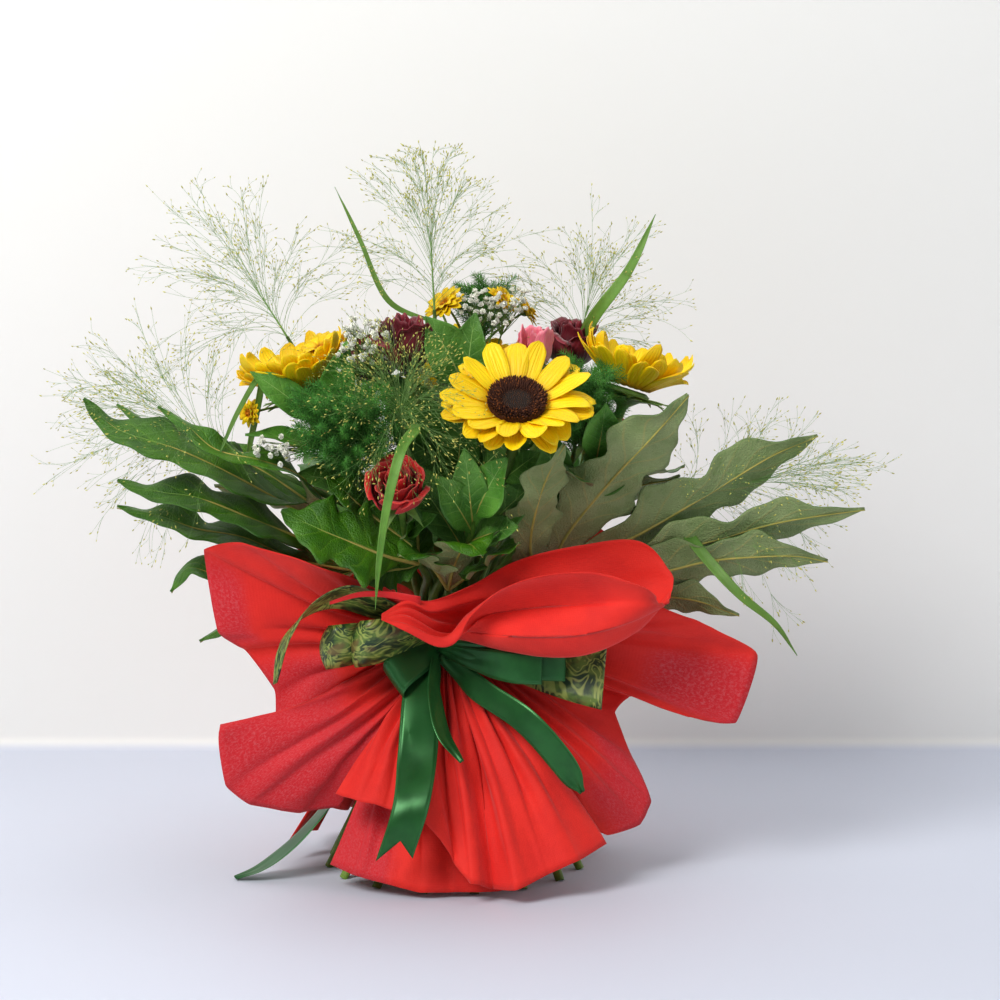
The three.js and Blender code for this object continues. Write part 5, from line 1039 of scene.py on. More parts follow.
LOBE_OUTLINE = [0.2, 0.35, 0.68, 0.92, 1, 0.97, 0.9, 0.78, 0.48, 0.03]
VALLEY = 0.24            # neighbouring lobes part at this share of their length
EDGE_WAVE = 0.285        # one wave of a lobe's edge, as a share of its length
FIRST_CREST = 0.47       # where one of the waves stands out most
LOBE_STATIONS = 60
LOBED_LEAVES = {
    "leaf_right": ((-0.2, 0.85, 0.45), [
        (32, [(52, -60, 232), (57, -84, 268), (66, -106, 295), (74, -118, 310)]),
        (52, [(74, -48, 236), (106, -66, 280), (133, -80, 311), (157, -89, 340)]),
        (46, [(98, -38, 226), (129, -37, 241), (183, -30, 272), (221, -25, 294), (251, -20, 306)]),
        (36, [(100, -38, 214), (143, -40, 226), (182, -38, 237), (222, -38, 248), (258, -38, 254),
              (282, -38, 257)]),
        (38, [(100, -36, 206), (146, -40, 215), (174, -42, 222), (201, -44, 225), (236, -46, 226),
              (256, -46, 222)]),
        (26, [(98, -32, 198), (143, -30, 196), (170, -30, 192), (197, -30, 182)]),
    ]),
    "leaf_left_high": ((0, -0.45, 0.9), [
        (46, [(-90, -30, 246), (-113, -40, 260), (-144, -55, 280), (-184, -65, 301),
              (-225, -62, 314), (-251, -55, 334)]),
        (26, [(-88, -18, 250), (-142, -12, 286), (-177, -8, 300), (-207, -5, 310), (-236, 0, 325)]),
        (26, [(-84, -40, 256), (-105, -62, 284), (-130, -80, 296), (-159, -90, 305),
              (-178, -90, 321), (-197, -86, 331)]),
    ]),
    "leaf_left_low": ((0, -0.5, 0.87), [
        (38, [(-84, -20, 220), (-106, -35, 237), (-132, -50, 250), (-169, -62, 267),
              (-196, -66, 272), (-228, -60, 279)]),
        (32, [(-90, -18, 216), (-112, -28, 222), (-146, -36, 238), (-177, -42, 245),
              (-203, -46, 254), (-230, -50, 260)]),
        (26, [(-86, -8, 206), (-108, -10, 203), (-135, -14, 201), (-163, -18, 208),
              (-185, -22, 214), (-196, -28, 198)]),
        (24, [(-82, 2, 202), (-109, 6, 188), (-145, 12, 172), (-169, 14, 164), (-181, 14, 156)]),
    ]),
    "leaf_front_left": ((0.2, -0.75, 0.62), [
        (52, [(-28, -62, 224), (-44, -76, 230), (-64, -90, 240), (-89, -101, 252), (-114, -104, 264)]),
        (36, [(-26, -58, 232), (-42, -62, 246), (-60, -72, 262), (-72, -86, 275), (-85, -96, 286)]),
        (30, [(-30, -58, 220), (-42, -58, 218), (-56, -60, 214), (-68, -60, 214)]),
        (28, [(-24, -58, 232), (-25, -66, 250), (-28, -80, 266), (-32, -94, 277)]),
    ]),
    "leaf_front": ((0, -0.4, 0.92), [
        (44, [(0, -68, 222), (6, -86, 237), (12, -103, 242), (20, -118, 236)]),
        (34, [(-12, -64, 218), (-22, -82, 232), (-36, -100, 234)]),
        (34, [(14, -62, 218), (30, -74, 232), (45, -86, 240)]),
    ]),
}


def chance(seed, step):
    """The same number from 0 to 1 each time for the same seed and step."""
    value = math.sin(seed * 12.9898 + step * 78.233) * 43758.5453
    return value - math.floor(value)


def fanned_lobes(name, reach, seed):
    """Four lobes fanned round the way the leaf points."""
    at = np.array(HEADS[name][1], float)
    out = unit([at[0], at[1], 0])
    side = np.cross(out, UP)
    lobes = []
    for k in range(4):
        turn = math.radians((k - 1.5) * 44)
        heading = out * math.cos(turn) + side * math.sin(turn)
        length = reach * (1 - 0.09 * abs(k - 1.5)) * (0.92 + 0.13 * chance(seed, k))
        rises = [length * (0.75 * t - 0.35 * t * t) + (k % 2) * 8 * t for t in (0, 0.35, 0.7, 1)]
        points = [at + heading * (5 + length * t) + UP * rise for t, rise in zip((0, 0.35, 0.7, 1), rises)]
        lobes.append((38 + 5 * chance(seed, k + 9), points))
    return lobes


# a steep lobe that each back leaf adds behind the heads
STEEP_LOBES = {
    "leaf_back_left": (58, [(-46, 58, 240), (-34, 64, 272), (-24, 68, 306), (-20, 70, 340)]),
    "leaf_back_right": (58, [(46, 60, 240), (38, 62, 272), (32, 60, 306), (30, 58, 338)]),
}
for back_leaf, back_reach, back_seed, back_facing in (
        ("leaf_back_left", 135, 21, (-0.35, 0.35, 0.87)), ("leaf_back_right", 130, 33, (0.35, 0.35, 0.87))):
    back_lobes = [*fanned_lobes(back_leaf, back_reach, back_seed), STEEP_LOBES[back_leaf]]
    LOBED_LEAVES[back_leaf] = (back_facing, back_lobes)


def lobed_leaf(name):
    """A palmate leaf: each lobe a rippled, scalloped blade, joined to its neighbours up to a valley."""
    facing, lobes = LOBED_LEAVES[name]
    facing = unit(facing)
    junction = np.array(HEADS[name][1], float)
    lines = [even_line([junction, *midrib], LOBE_STATIONS) for _, midrib in lobes]
    middle = unit(sum(line[-1] - junction for line in lines))
    side = unit(np.cross(facing, middle))
    turns = [math.atan2((line[-1] - junction) @ side, (line[-1] - junction) @ middle) for line in lines]
    order = sorted(range(len(lines)), key=lambda k: turns[k])
    fork = int(VALLEY * (LOBE_STATIONS - 1))
    leaf = Pile()
    t = steps(LOBE_STATIONS)
    s = np.linspace(-1, 1, 15)
    phase = 2 * math.pi * (t - FIRST_CREST) / EDGE_WAVE
    for place_in_order, k in enumerate(order):
        line, width = lines[k], lobes[k][0]
        scallop = 0.22 * np.cos(phase) + 0.1 * np.cos(phase * 2.3 + k)
        half = width / 2 * profile(LOBE_OUTLINE, t) * (1 + scallop)
        along = unit(np.gradient(line, axis=0))
        across = unit(np.cross(np.broadcast_to(facing, along.shape), along))
        normal = np.cross(along, across)
        ripple = (half * 0.12 + 3.0 * np.cos(phase) * step_between(0.1, 0.3, t))[:, None]
        edges = []
        for sign in (-1, 1):
            shift = np.cos(phase * 1.13 + sign)[:, None] * 0.05 * half[:, None]
            swing = 1.0 if sign < 0 else 0.8
            outline = line + across * (sign * half[:, None] + shift) + normal * ripple * swing
            beside = place_in_order + sign
            if 0 <= beside < len(order):
                valley = (line[fork] + lines[order[beside]][fork]) / 2
                web = junction + (valley - junction) * np.minimum(t / VALLEY, 1)[:, None]
                outline = web + (outline - web) * step_between(VALLEY - 0.03, VALLEY + 0.16, t)[:, None]
            edges.append(outline)
        wide = np.where(s[None, :, None] < 0, edges[0][:, None], edges[1][:, None]) - line[:, None]
        veins = 9.0 * t[:, None] - 2.6 * (np.abs(s)[None, :] / 2) ** 0.8
        quilt = 0.35 * np.cos(2 * math.pi * veins) * np.sin(math.pi * np.abs(s))[None, :]
        quilt = quilt * (half / 20)[:, None]
        fold = -1.6 * np.exp(-(s[None, :] / 0.12) ** 2) * step_between(1.0, 0.6, t)[:, None] * 0.5
        grid = line[:, None] + wide * np.abs(s)[None, :, None] + normal[:, None] * (quilt + fold)[..., None]
        grid = grid + normal[:, None] * bumps(grid, 26, k)[..., None] * 1.2
        add_blade(leaf, grid, 0.25, 0.3 + 0.4 * chance(k, len(name)), 0, 1)
    for line in lines:
        add_tube(leaf, line - facing * 0.7, np.linspace(1.5, 0.35, LOBE_STATIONS), 6, 0.5, 2)
    build(f"{name}_blade", leaf, ["leaf", "leaf_under", "rib"])
    bare_stem(name)


# ---------------------------------------------------------------- leafy stems and filler

SPRIG_LEAVES = {
    "sprig_centre": [
        (1, (-19, -58, 391), 34, (0.3, -0.9, 0.2)), (0.93, (15, -52, 393), 30, (-0.2, -0.9, 0.3)),
        (0.85, (-20, -72, 340), 22, (0, -0.6, 0.8)), (0.8, (34, -66, 330), 22, (0.2, -0.6, 0.7)),
        (0.6, (-44, -50, 316), 34, (0.1, -0.9, 0.3)), (0.5, (46, -48, 312), 34, (-0.1, -0.9, 0.3)),
        (0.7, (-52, -40, 352), 32, (0.1, -0.9, 0.3)), (0.55, (6, -52, 326), 28, (0, -0.9, 0.3)),
    ],
    "sprig_left": [
        (1, (-137, -64, 354), 22, (0, -0.8, 0.5)), (0.92, (-96, -88, 336), 24, (0.1, -0.7, 0.7)),
        (0.82, (-140, -70, 312), 22, (-0.2, -0.5, 0.8)), (0.96, (-72, -56, 374), 24, (0.2, -0.9, 0.3)),
        (0.6, (-107, -58, 283), 28, (0.1, -0.8, 0.6)),
    ],
    "sprig_right": [
        (1, (102, -80, 334), 26, (0.2, -0.9, 0.4)), (0.9, (70, -96, 292), 24, (-0.3, -0.8, 0.5)),
        (0.82, (130, -46, 290), 24, (0.2, -0.6, 0.8)), (0.95, (128, -34, 318), 20, (0.1, -0.8, 0.6)),
        (0.6, (62, -66, 320), 30, (0.1, -0.9, 0.3)),
    ],
    "sprig_low": [
        (1, (36, -104, 300), 30, (-0.3, -0.9, 0.3)), (0.9, (-12, -104, 288), 26, (0.3, -0.9, 0.3)),
        (0.8, (44, -92, 252), 26, (0.2, -0.8, 0.6)), (0.95, (8, -100, 306), 24, (0, -1, 0.2)),
        (0.7, (-38, -74, 300), 28, (0.2, -0.9, 0.3)), (0.65, (62, -72, 286), 28, (0, -0.9, 0.4)),
    ],
}


def sprig(name):
    """A leafy stem: ovate leaves with a wavy edge, folded along the midrib."""
    leaves = Pile()
    for k, (share, tip, width, facing) in enumerate(SPRIG_LEAVES[name]):
        root, tip = stem_point(name, share)[0], np.array(tip, float)
        facing = unit(facing)
        bow = (root + tip) / 2 + facing * np.linalg.norm(tip - root) * 0.14
        line = bezier([root, bow, tip], steps(26))
        halves = width / 2 * profile([0.14, 0.5, 0.92, 1.04, 0.96, 0.74, 0.4, 0.03], steps(26))

        def wave(t, s, k=k, width=width):
            veins = 7.0 * t - 2.2 * (np.abs(s) / 2) ** 0.8
            quilt = 0.3 * np.cos(2 * math.pi * veins) * np.sin(math.pi * np.abs(s))
            return quilt + 0.05 * width * np.abs(s) ** 2 * np.sin(t * 13 + k + 2 * np.sign(s))

        add_blade(leaves, blade_grid(line, facing, halves, 13, 0.22, wave), 0.2, chance(k, len(name)), 0, 1)
        add_tube(leaves, line - facing * 0.4, np.linspace(0.9, 0.2, 26), 6, 0.5, 2)
    build(f"{name}_leaves", leaves, ["sprig", "leaf_under", "rib"])
    bare_stem(name)


SPRAY_BLOOMS = {
    "spray_yellow_top": [(-6, 14, 394, 17), (32, 14, 397, 13), (48, 34, 388, 13), (-10, 46, 388, 13)],
    "spray_yellow_left": [(-92, -4, 364, 20), (-128, 22, 340, 13), (-88, 34, 356, 13), (-136, -62, 326, 10)],
}


def small_bloom(pile, centre, facing, radius, draw):
    """A small bloom of three layers of narrow petals round a button of tiny florets."""
    basis = looking(facing, draw.uniform(0, 6))
    for layer in range(3):
        count = 13 - 2 * layer
        for k in range(count):
            angle = 2 * math.pi * (k + 0.5 * layer + draw.uniform(-0.2, 0.2)) / count
            reach = radius * (1 - 0.17 * layer) * draw.uniform(0.88, 1.04)
            rise = 1.5 + 2.2 * layer + draw.uniform(-0.8, 1.6)
            bow = [reach * 0.6, 0, 1.6 + layer * 1.2 + rise * 0.4]
            line = bezier([[2.6, 0, 0.6 + layer], bow, [reach, 0, rise]], steps(6))
            halves = radius * 0.17 * profile([0.6, 0.95, 1, 0.85, 0.25], steps(6))
            grid = blade_grid(line, UP, halves, 3, 0.25)
            add_round(pile, grid, angle, (centre, basis), 0.16, draw.uniform())
    order = np.arange(46)
    out = 3.6 * np.sqrt((order + 0.5) / 46)
    turn = order * GOLDEN_TURN
    foot = np.stack([out * np.cos(turn), out * np.sin(turn), 1.4 - out * 0.1], 1)
    frames = frames_along(UP + foot * 0.08, draw.uniform(0.7, 1.1, 46), draw)
    heads = Pile()
    add_copies(heads, spun(5, [0.5, 0.62, 0.2], [0, 1.6, 2.6]), foot, frames, draw.uniform(0, 1, 46))
    pile.add(set_in(heads.points[0], centre, basis), heads.faces, heads.marks[0], 1)


def spray(name, seed):
    """A branching spray of small yellow blooms."""
    draw = np.random.RandomState(seed)
    stem, blooms = Pile(), Pile()
    add_stem(stem, name)
    for k, (x, y, z, radius) in enumerate(SPRAY_BLOOMS[name]):
        centre = np.array([x, y, z], float)
        point, along = stem_point(name, 0.92 - 0.07 * k)
        by = point + along * np.linalg.norm(centre - point) * 0.5
        facing = unit(unit(centre - by) + np.array([x / 300, y / 300 - 0.3, 0.2]))
        add_tube(stem, bezier([point, by, centre - facing], steps(12)), np.linspace(1.2, 0.8, 12), 7)
        cup, groups = spun(10, [0.9, 2.8, 3.2], [-2.2, -0.6, 0.8])
        stem.add(set_in(cup, centre, looking(facing)), groups)
        small_bloom(blooms, centre, facing, radius, draw)
    build(f"{name}_blooms", blooms, ["yellow", "pollen"])
    build(name, stem, ["stem"], [name])


GYPSOPHILA = {
    "gypsophila_left": ([(-61, -60, 381), (-67, -56, 362), (-56, -66, 371), (-120, -84, 303)], 41),
    "gypsophila_top": ([(30, -6, 392), (14, 2, 398), (40, 10, 398)], 57),
}
FLORETS_PER_CLUSTER = 24


def gypsophila(name):
    """White filler: forked hair-fine branchlets with a small ruffled floret at each tip."""
    centres, seed = GYPSOPHILA[name]
    draw = np.random.RandomState(seed)
    stem, florets = Pile(), Pile()
    add_stem(stem, name)
    for c, centre in enumerate(centres):
        point, along = stem_point(name, 0.95 - 0.08 * c)
        fork = point + (np.array(centre) - point) * 0.62 + along * 4
        add_tube(stem, bezier([point, point + along * 9, fork], steps(9)), np.linspace(0.9, 0.5, 9), 6)
        tips = np.array(centre) + draw.uniform(-1, 1, (FLORETS_PER_CLUSTER, 3)) * [12, 9, 9]
        bow = (tips + fork) / 2 + draw.uniform(-4, 4, tips.shape)
        lines = np.stack([bezier([fork, mid, tip], steps(6)) for mid, tip in zip(bow, tips)])
        add_strands(stem, lines, np.linspace(0.35, 0.2, 6), 0.5)
        for line, tip in zip(lines, tips):
            way = unit(line[-1] - line[-2])
            for layer, (count, size, lift) in enumerate(((6, 2.2, 0.3), (5, 1.7, 0.9), (3, 1.0, 1.5))):
                frame_at = looking(way, draw.uniform(0, 6))
                for turn in 2 * math.pi * (np.arange(count) + 0.4 * layer) / count:
                    t = steps(4)
                    rib = np.stack([size * t, 0 * t, lift * t + 0.8 * t * t + layer * 0.4], 1)
                    grid = blade_grid(rib, UP, size * 0.42 * np.array([0.3, 0.85, 1.0, 0.75]), 3, 0.35)
                    grid = grid + draw.uniform(-0.22, 0.22, grid.shape)
                    add_round(florets, grid, turn, (tip, frame_at), 0.12, draw.uniform())
    build(f"{name}_florets", florets, ["white"])
    build(name, stem, ["stem"], [name])


# ---------------------------------------------------------------- fern plumes

# branches, the needles' reach, the branches' span and the seed of each plume
FERNS = {
    "fern_left": (52, 11, 52, 61), "fern_top": (22, 9, 28, 67),
    "fern_right": (36, 11, 42, 71), "fern_back": (22, 10, 34, 73),
}


def add_needles(pile, line, reach, spacing, draw):
    """Fine needles on every side of a line, out to its tip."""
    run = length_of(line)
    count = max(int(run / spacing), 2)
    shares = np.linspace(0.06, 1.0, count)
    knots = steps(len(line))
    root = np.stack([np.interp(shares, knots, line[:, i]) for i in range(3)], 1)
    along = unit(np.gradient(line, axis=0))
    way = unit(np.stack([np.interp(shares, knots, along[:, i]) for i in range(3)], 1))
    spin = np.arange(count) * GOLDEN_TURN + draw.uniform(0, 6)
    guide = unit(np.cross(way, np.array([0.3, 0.2, 0.9])))
    out = guide * np.cos(spin)[:, None] + np.cross(way, guide) * np.sin(spin)[:, None]
    size = (reach * (1 - 0.55 * shares) * draw.uniform(0.75, 1.15, count))[:, None]
    tip = root + out * size * 0.85 + way * size * 0.62
    bow = root + out * size * 0.42 + way * size * 0.22
    lines = np.stack([root, bow, tip], 1)
    add_strands(pile, lines, np.array([0.2, 0.19, 0.05]), draw.uniform(0, 1, count))


def fern(name):
    """A plume: needles round its core and round the branchlets that leave it on every side."""
    branches, reach, span, seed = FERNS[name]
    draw = np.random.RandomState(seed)
    core = core_line(name, 20)
    plume, stem = Pile(), Pile()
    add_stem(stem, name)
    add_tube(stem, core, np.linspace(CORES[name][1], 0.4, 20), 6)
    add_needles(plume, core, reach, 0.5, draw)
    along = unit(np.gradient(core, axis=0))
    for k in range(branches):
        share = 0.04 + 0.86 * k / branches
        turn = k * GOLDEN_TURN + seed
        i = int(share * 19)
        aside = np.array([1, 0.2, 0]) * math.cos(turn) + np.array([-0.2, 1, 0]) * math.sin(turn)
        way = unit(aside + along[i] * 0.9)
        far = span * (1 - 0.35 * share) * draw.uniform(0.85, 1.1)
        root = core[i]
        line = bezier([root, root + way * far * 0.6, root + way * far - UP * far * 0.14], steps(12))
        add_tube(stem, line, np.linspace(0.6, 0.2, 12), 5)
        add_needles(plume, line, reach, 0.32, draw)
        for part in range(3):
            first = line[3 + part * 3]
            aside = unit(np.cross(way, draw.uniform(-1, 1, 3)) * 0.8 + way)
            twig = bezier([first, first + aside * 6, first + aside * 12 - UP], steps(7))
            add_strands(stem, twig[None], 0.25)
            add_needles(plume, twig, reach * 0.75, 0.34, draw)
    build(f"{name}_needles", plume, ["fern"])
    build(name, stem, ["stem"], [name])


# ---------------------------------------------------------------- panicle grass

# the branches' reach, how far they lean out at the top and the foot of the head, how many, and the seed
PANICLES = {
    "panicle_top": (55, 108, 8, 74, 52, 81), "panicle_top_right": (45, 88, 12, 78, 40, 83),
    "panicle_left_high": (55, 100, 10, 76, 44, 85), "panicle_left": (60, 112, 12, 84, 54, 87),
    "panicle_centre": (42, 80, 25, 118, 104, 89), "panicle_right": (54, 91, 8, 76, 50, 91),
}
HAZE_TOP = 516          # no seed stands higher above the floor
HAZE_EASE = 40          # below the top, where the hairs begin to bend aside
GRASS_BLADES = {
    "panicle_top": (0.96, [(-45, -8, 398), (-65, -10, 441), (-82, -10, 477)], 4),
    "panicle_top_right": (0.97, [(97, 6, 386), (121, -2, 420), (139, 0, 458)], 9),
    "panicle_centre": (0.97, [(-24, -112, 320), (-32, -135, 310), (-41, -145, 277),
                              (-47, -146, 238), (-50, -140, 204)], 7),
    "panicle_right": (0.94, [(168, -50, 230), (194, -72, 203), (218, -76, 183), (233, -75, 162)], 8.5),
    "panicle_left": (0.94, [(-130, -58, 350), (-143, -78, 330), (-159, -94, 292)], 4.5),
}


def panicle(name):
    """An airy head of grass: long hair-fine branches that fork twice, with a seed at every tip."""
    near_reach, far_reach, top_lean, foot_lean, branches, seed = PANICLES[name]
    draw = np.random.RandomState(seed)
    culm = core_line(name, 30)
    growth = unit(HEADS[name][2])
    side = unit(np.cross(growth, [0.2, 0.95, 0.1]))
    other = np.cross(growth, side)
    first, second, third, tips, ways = [], [], [], [], []
    for k in range(branches):
        share = k / (branches - 1)
        turn = k * GOLDEN_TURN + seed + draw.uniform(-0.5, 0.5)
        lean = math.radians(foot_lean + (top_lean - foot_lean) * share + draw.uniform(-12, 12))
        out = side * math.cos(turn) + other * math.sin(turn)
        heading = growth * math.cos(lean) + out * math.sin(lean)
        length = draw.uniform(near_reach, far_reach)
        root = culm[int((0.05 + share * 0.85) * 29)]
        bow = root + unit(heading + growth * 0.5) * length * 0.5
        tip = root + heading * length - UP * length * draw.uniform(0.0, 0.22)
        line = bezier([root, bow, tip], steps(10))
        first.append(line)
        tips.append(tip)
        ways.append(heading)
        for _ in range(draw.randint(4, 8)):
            at = draw.randint(3, 9)
            start = line[at]
            along = unit(line[at] - line[at - 1])
            aside = unit(along + draw.uniform(-1, 1, 3) * 0.6)
            reach = draw.uniform(12, 30)
            end = start + aside * reach - UP * reach * 0.08
            twig = bezier([start, start + unit(along + aside) * reach * 0.55, end], steps(6))
            second.append(twig)
            tips.append(end)
            ways.append(aside)
            for _ in range(draw.randint(1, 4)):
                at = draw.randint(1, 5)
                fork = unit(aside + draw.uniform(-1, 1, 3) * 0.7)
                last = twig[at] + fork * draw.uniform(5, 13)
                third.append(bezier([twig[at], twig[at] + unit(aside + fork) * 4, last], steps(4)))
                tips.append(last)
                ways.append(fork)
    tips = np.array(tips)
    for lines in (first, second, third, [tips]):
        for line in lines:
            over = np.maximum(line[:, 2] - (HAZE_TOP - HAZE_EASE), 0)
            line[:, 2] -= over - HAZE_EASE * (1 - np.exp(-over / HAZE_EASE))
    hairs, seeds, stem = Pile(), Pile(), Pile()
    add_stem(stem, name)
    add_tube(stem, culm, np.linspace(0.8, 0.2, 30), 6)
    add_strands(hairs, first, np.linspace(0.15, 0.08, 10))
    add_strands(hairs, second, np.linspace(0.1, 0.07, 6))
    add_strands(hairs, third, np.linspace(0.08, 0.06, 4))
    sizes = draw.uniform(0.6, 1.05, len(tips))
    frames = frames_along(np.array(ways), sizes, draw)
    places = tips - unit(ways) * 0.3
    grain = spun(4, [0.12, 0.5, 0.42, 0.06], [0, 0.75, 1.6, 2.5])
    add_copies(seeds, grain, places, frames, draw.uniform(0, 1, len(tips)))
    if name in GRASS_BLADES:
        share, points, width = GRASS_BLADES[name]
        line = even_line([stem_point(name, share)[0], *points], 34)
        halves = width / 2 * profile([0.6, 1, 0.95, 0.8, 0.55, 0.02], steps(34))
        grid = blade_grid(line, (0.1, -0.8, 0.5), halves, 7, 0.28, lambda t, s: 0.4 * np.sin(t * 15 + s) * s)
        blade = Pile()
        add_blade(blade, grid, 0.16, chance(seed, 1))
        build(f"{name}_blade", blade, ["grass"])
    build(f"{name}_branches", hairs, ["culm"])
    build(f"{name}_seeds", seeds, ["seed"])
    build(name, stem, ["culm"], [name])


# ---------------------------------------------------------------- the wrap's cloth


def neck_point(degrees, radius, height):
    """A point round the tie's axis."""
    angle = math.radians(degrees)
    return [radius * math.cos(angle), radius * math.sin(angle), height]


def smooth_grid(net, rows, columns, tight=None):
    """A grid of points: smooth across each row of the net, then along each of its columns."""
    across = np.stack([smooth_line(row, steps(columns), tight) for row in net], axis=1)
    return np.stack([smooth_line(line, steps(rows)) for line in across], axis=1)


def gathered_net(columns):
    """Four rows of points from the tie out to the edge of a gathered sheet. Each column is its neck angle
    and height, its middle, its edge and, where it passes the band on the outside, its radius there."""
    net = [[], [], [], []]
    for degrees, height, middle, edge, *wider in columns:
        radius = wider[0] if wider else NECK_RADIUS
        neck = np.array(neck_point(degrees, radius, height))
        lift = 5 if height > TIE_HEIGHT else -5
        close = np.array(neck_point(degrees, radius + 1.4, height + lift))
        shoulder = neck + (np.array(middle) - neck) * 0.25 if wider else close
        for row, point in zip(net, (neck, shoulder, middle, edge)):
            row.append(point)
    return net


WRAP_LEFT = [
    [246, 173, [-28, -50, 184], [-32, -68, 198]],
    [240, 173, [-50, -54, 192], [-62, -72, 213]],
    [234, 173, [-62, -54, 196], [-90, -76, 225]],
    [228, 172, [-88, -50, 200], [-142, -62, 239]],
    [222, 171, [-98, -42, 194], [-171, -46, 231], 33],
    [217, 168, [-98, -38, 176], [-163, -42, 174], OUTSIDE_BAND],
    [213, 166, [-86, -34, 164], [-146, -34, 160], OUTSIDE_BAND],
    [209, 164, [-78, -32, 150], [-125, -30, 130], OUTSIDE_BAND],
    [206, 162, [-72, -34, 138], [-123, -32, 99], OUTSIDE_BAND],
    [210, 160, [-66, -38, 134], [-100, -44, 106], OUTSIDE_BAND],
    [216, 158, [-88, -56, 130], [-159, -74, 112], OUTSIDE_BAND],
    [224, 157, [-88, -60, 112], [-156, -72, 72], 33],
    [231, 156, [-80, -62, 104], [-140, -66, 58]],
    [238, 156, [-66, -58, 98], [-106, -56, 49]],
    [244, 156, [-52, -52, 98], [-80, -50, 52]],
]
WRAP_RIGHT = [
    [300, 173, [60, -50, 182], [100, -56, 191]],
    [305, 173, [80, -54, 183], [138, -66, 193]],
    [310, 172, [95, -52, 177], [168, -61, 181]],
    [316, 170, [115, -46, 165], [209, -46, 156], 33],
    [319, 167, [110, -46, 142], [194, -50, 110], OUTSIDE_BAND],
    [321, 165, [96, -42, 139], [163, -46, 113], OUTSIDE_BAND],
    [323, 163, [88, -36, 139], [148, -38, 119], OUTSIDE_BAND],
    [324, 161, [78, -26, 138], [122, -18, 122], OUTSIDE_BAND],
    [320, 159, [72, -34, 132], [112, -30, 114], OUTSIDE_BAND],
    [314, 158, [78, -42, 116], [124, -36, 84], 33],
    [309, 157, [84, -46, 100], [137, -40, 54]],
    [304, 156, [80, -50, 92], [129, -46, 38]],
    [299, 156, [68, -56, 88], [107, -56, 33]],
    [294, 156, [56, -58, 92], [86, -62, 45]],
]
WRAP_FRONT = [
    [234, 150, [-50, -60, 110], [-79, -87, 68]],
    [239, 150, [-42, -68, 108], [-63, -100, 66]],
    [244, 150, [-34, -70, 104], [-46, -106, 64]],
    [250, 150, [-22, -78, 102], [-18, -116, 55]],
    [256, 150, [-6, -72, 92], [0, -108, 27]],
    [262, 150, [4, -80, 88], [12, -120, 15]],
    [268, 150, [16, -70, 86], [27, -106, 8]],
    [274, 150, [26, -82, 86], [43, -118, 10]],
    [280, 150, [38, -76, 88], [63, -108, 18]],
    [286, 150, [50, -74, 92], [84, -102, 26]],
    [292, 150, [60, -62, 96], [103, -80, 32]],
]
WRAP_FRONT_UNDER = [
    [222, 146, [-52, -44, 90], [-85, -74, 17]],
    [232, 146, [-44, -54, 86], [-66, -88, 12]],
    [242, 146, [-36, -60, 82], [-47, -96, 9]],
    [251, 146, [-20, -62, 80], [-22, -102, 4]],
    [260, 146, [0, -64, 78], [0, -97, 3]],
    [269, 146, [18, -62, 78], [30, -98, 4]],
    [278, 146, [36, -58, 80], [62, -88, 12]],
]
# the roll at the top right: rows run from its point at the left to its round end at the right, and each
# row goes from the back rim down, under and up to the free front rim
SCROLL = [
    [[-48, -90, 193], [-48, -91, 192.5], [-48, -92, 192], [-48, -93, 191.5], [-48, -94, 191],
     [-48, -95, 190.5], [-48, -96, 190]],
    [[-31, -84, 202], [-31, -85, 199], [-31, -87, 196], [-31, -89, 193], [-31, -91, 190], [-31, -94, 186.5],
     [-31, -97, 183]],
    [[-16, -80, 199], [-15, -78, 193], [-14, -77, 187], [-12, -80, 182], [-10, -84, 178], [-7, -89, 176],
     [-4, -94, 175]],
    [[10, -74, 208], [8, -68, 198], [5, -56, 182], [6, -58, 175], [8, -74, 177], [10, -78, 186],
     [10, -98, 194]],
    [[42, -74, 226], [40, -70, 204], [38, -63, 184], [40, -79, 169], [42, -104, 180], [41, -82, 193],
     [40, -112, 219]],
    [[88, -72, 237], [88, -72, 208], [86, -80, 178], [86, -98, 169], [88, -115, 183], [87, -98, 201],
     [90, -118, 228]],
    [[126, -72, 239], [132, -72, 216], [128, -86, 190], [124, -98, 184], [126, -108, 192], [125, -111, 204],
     [122, -114, 217]],
    [[147, -76, 222], [148, -80, 216], [147, -84, 208], [146, -87, 203], [144, -90, 200], [141, -93, 198],
     [138, -96, 197]],
]
SCROLL_TONGUE = [[[6, -29.6, 174], [6, -42, 176.5], [6, -58, 181]], [[1, 0, 0], [1, 0, 0]], [12, 18, 24]]
# the roll's upper rim runs on to the left as a narrow edge above the bow's printed loops
SCROLL_RIM = [[[-83, -88, 200], [-62, -88, 206], [-40, -86, 205], [-22, -82, 200]],
              [[0, -0.3, 1], [0, -0.3, 1]], [2.4, 4, 5, 8]]


def back_net():
    """The back sheet's net: from its top edge down through the neck to its hem."""
    net = [[], [], [], [], [], [], []]
    for k in range(13):
        degrees = 20 + 160 * k / 12
        sign = 1 if k % 2 == 0 else -1
        rise = 10 * math.sin(k * 1.7)
        beyond = BAND_HALF_WIDTH + 3
        neck = [(NECK_RADIUS, TIE_HEIGHT + drop) for drop in (beyond, 0, -beyond)]
        ring = [(118 + 9 * sign, 226 + rise), (68 + 3 * sign, 202), *neck, (64 + 3 * sign, 100),
                (112 + 9 * sign, 19 + 5 * math.cos(k * 1.3))]
        for row, (radius, height) in zip(net, ring):
            row.append(neck_point(degrees, radius, height))
    return net


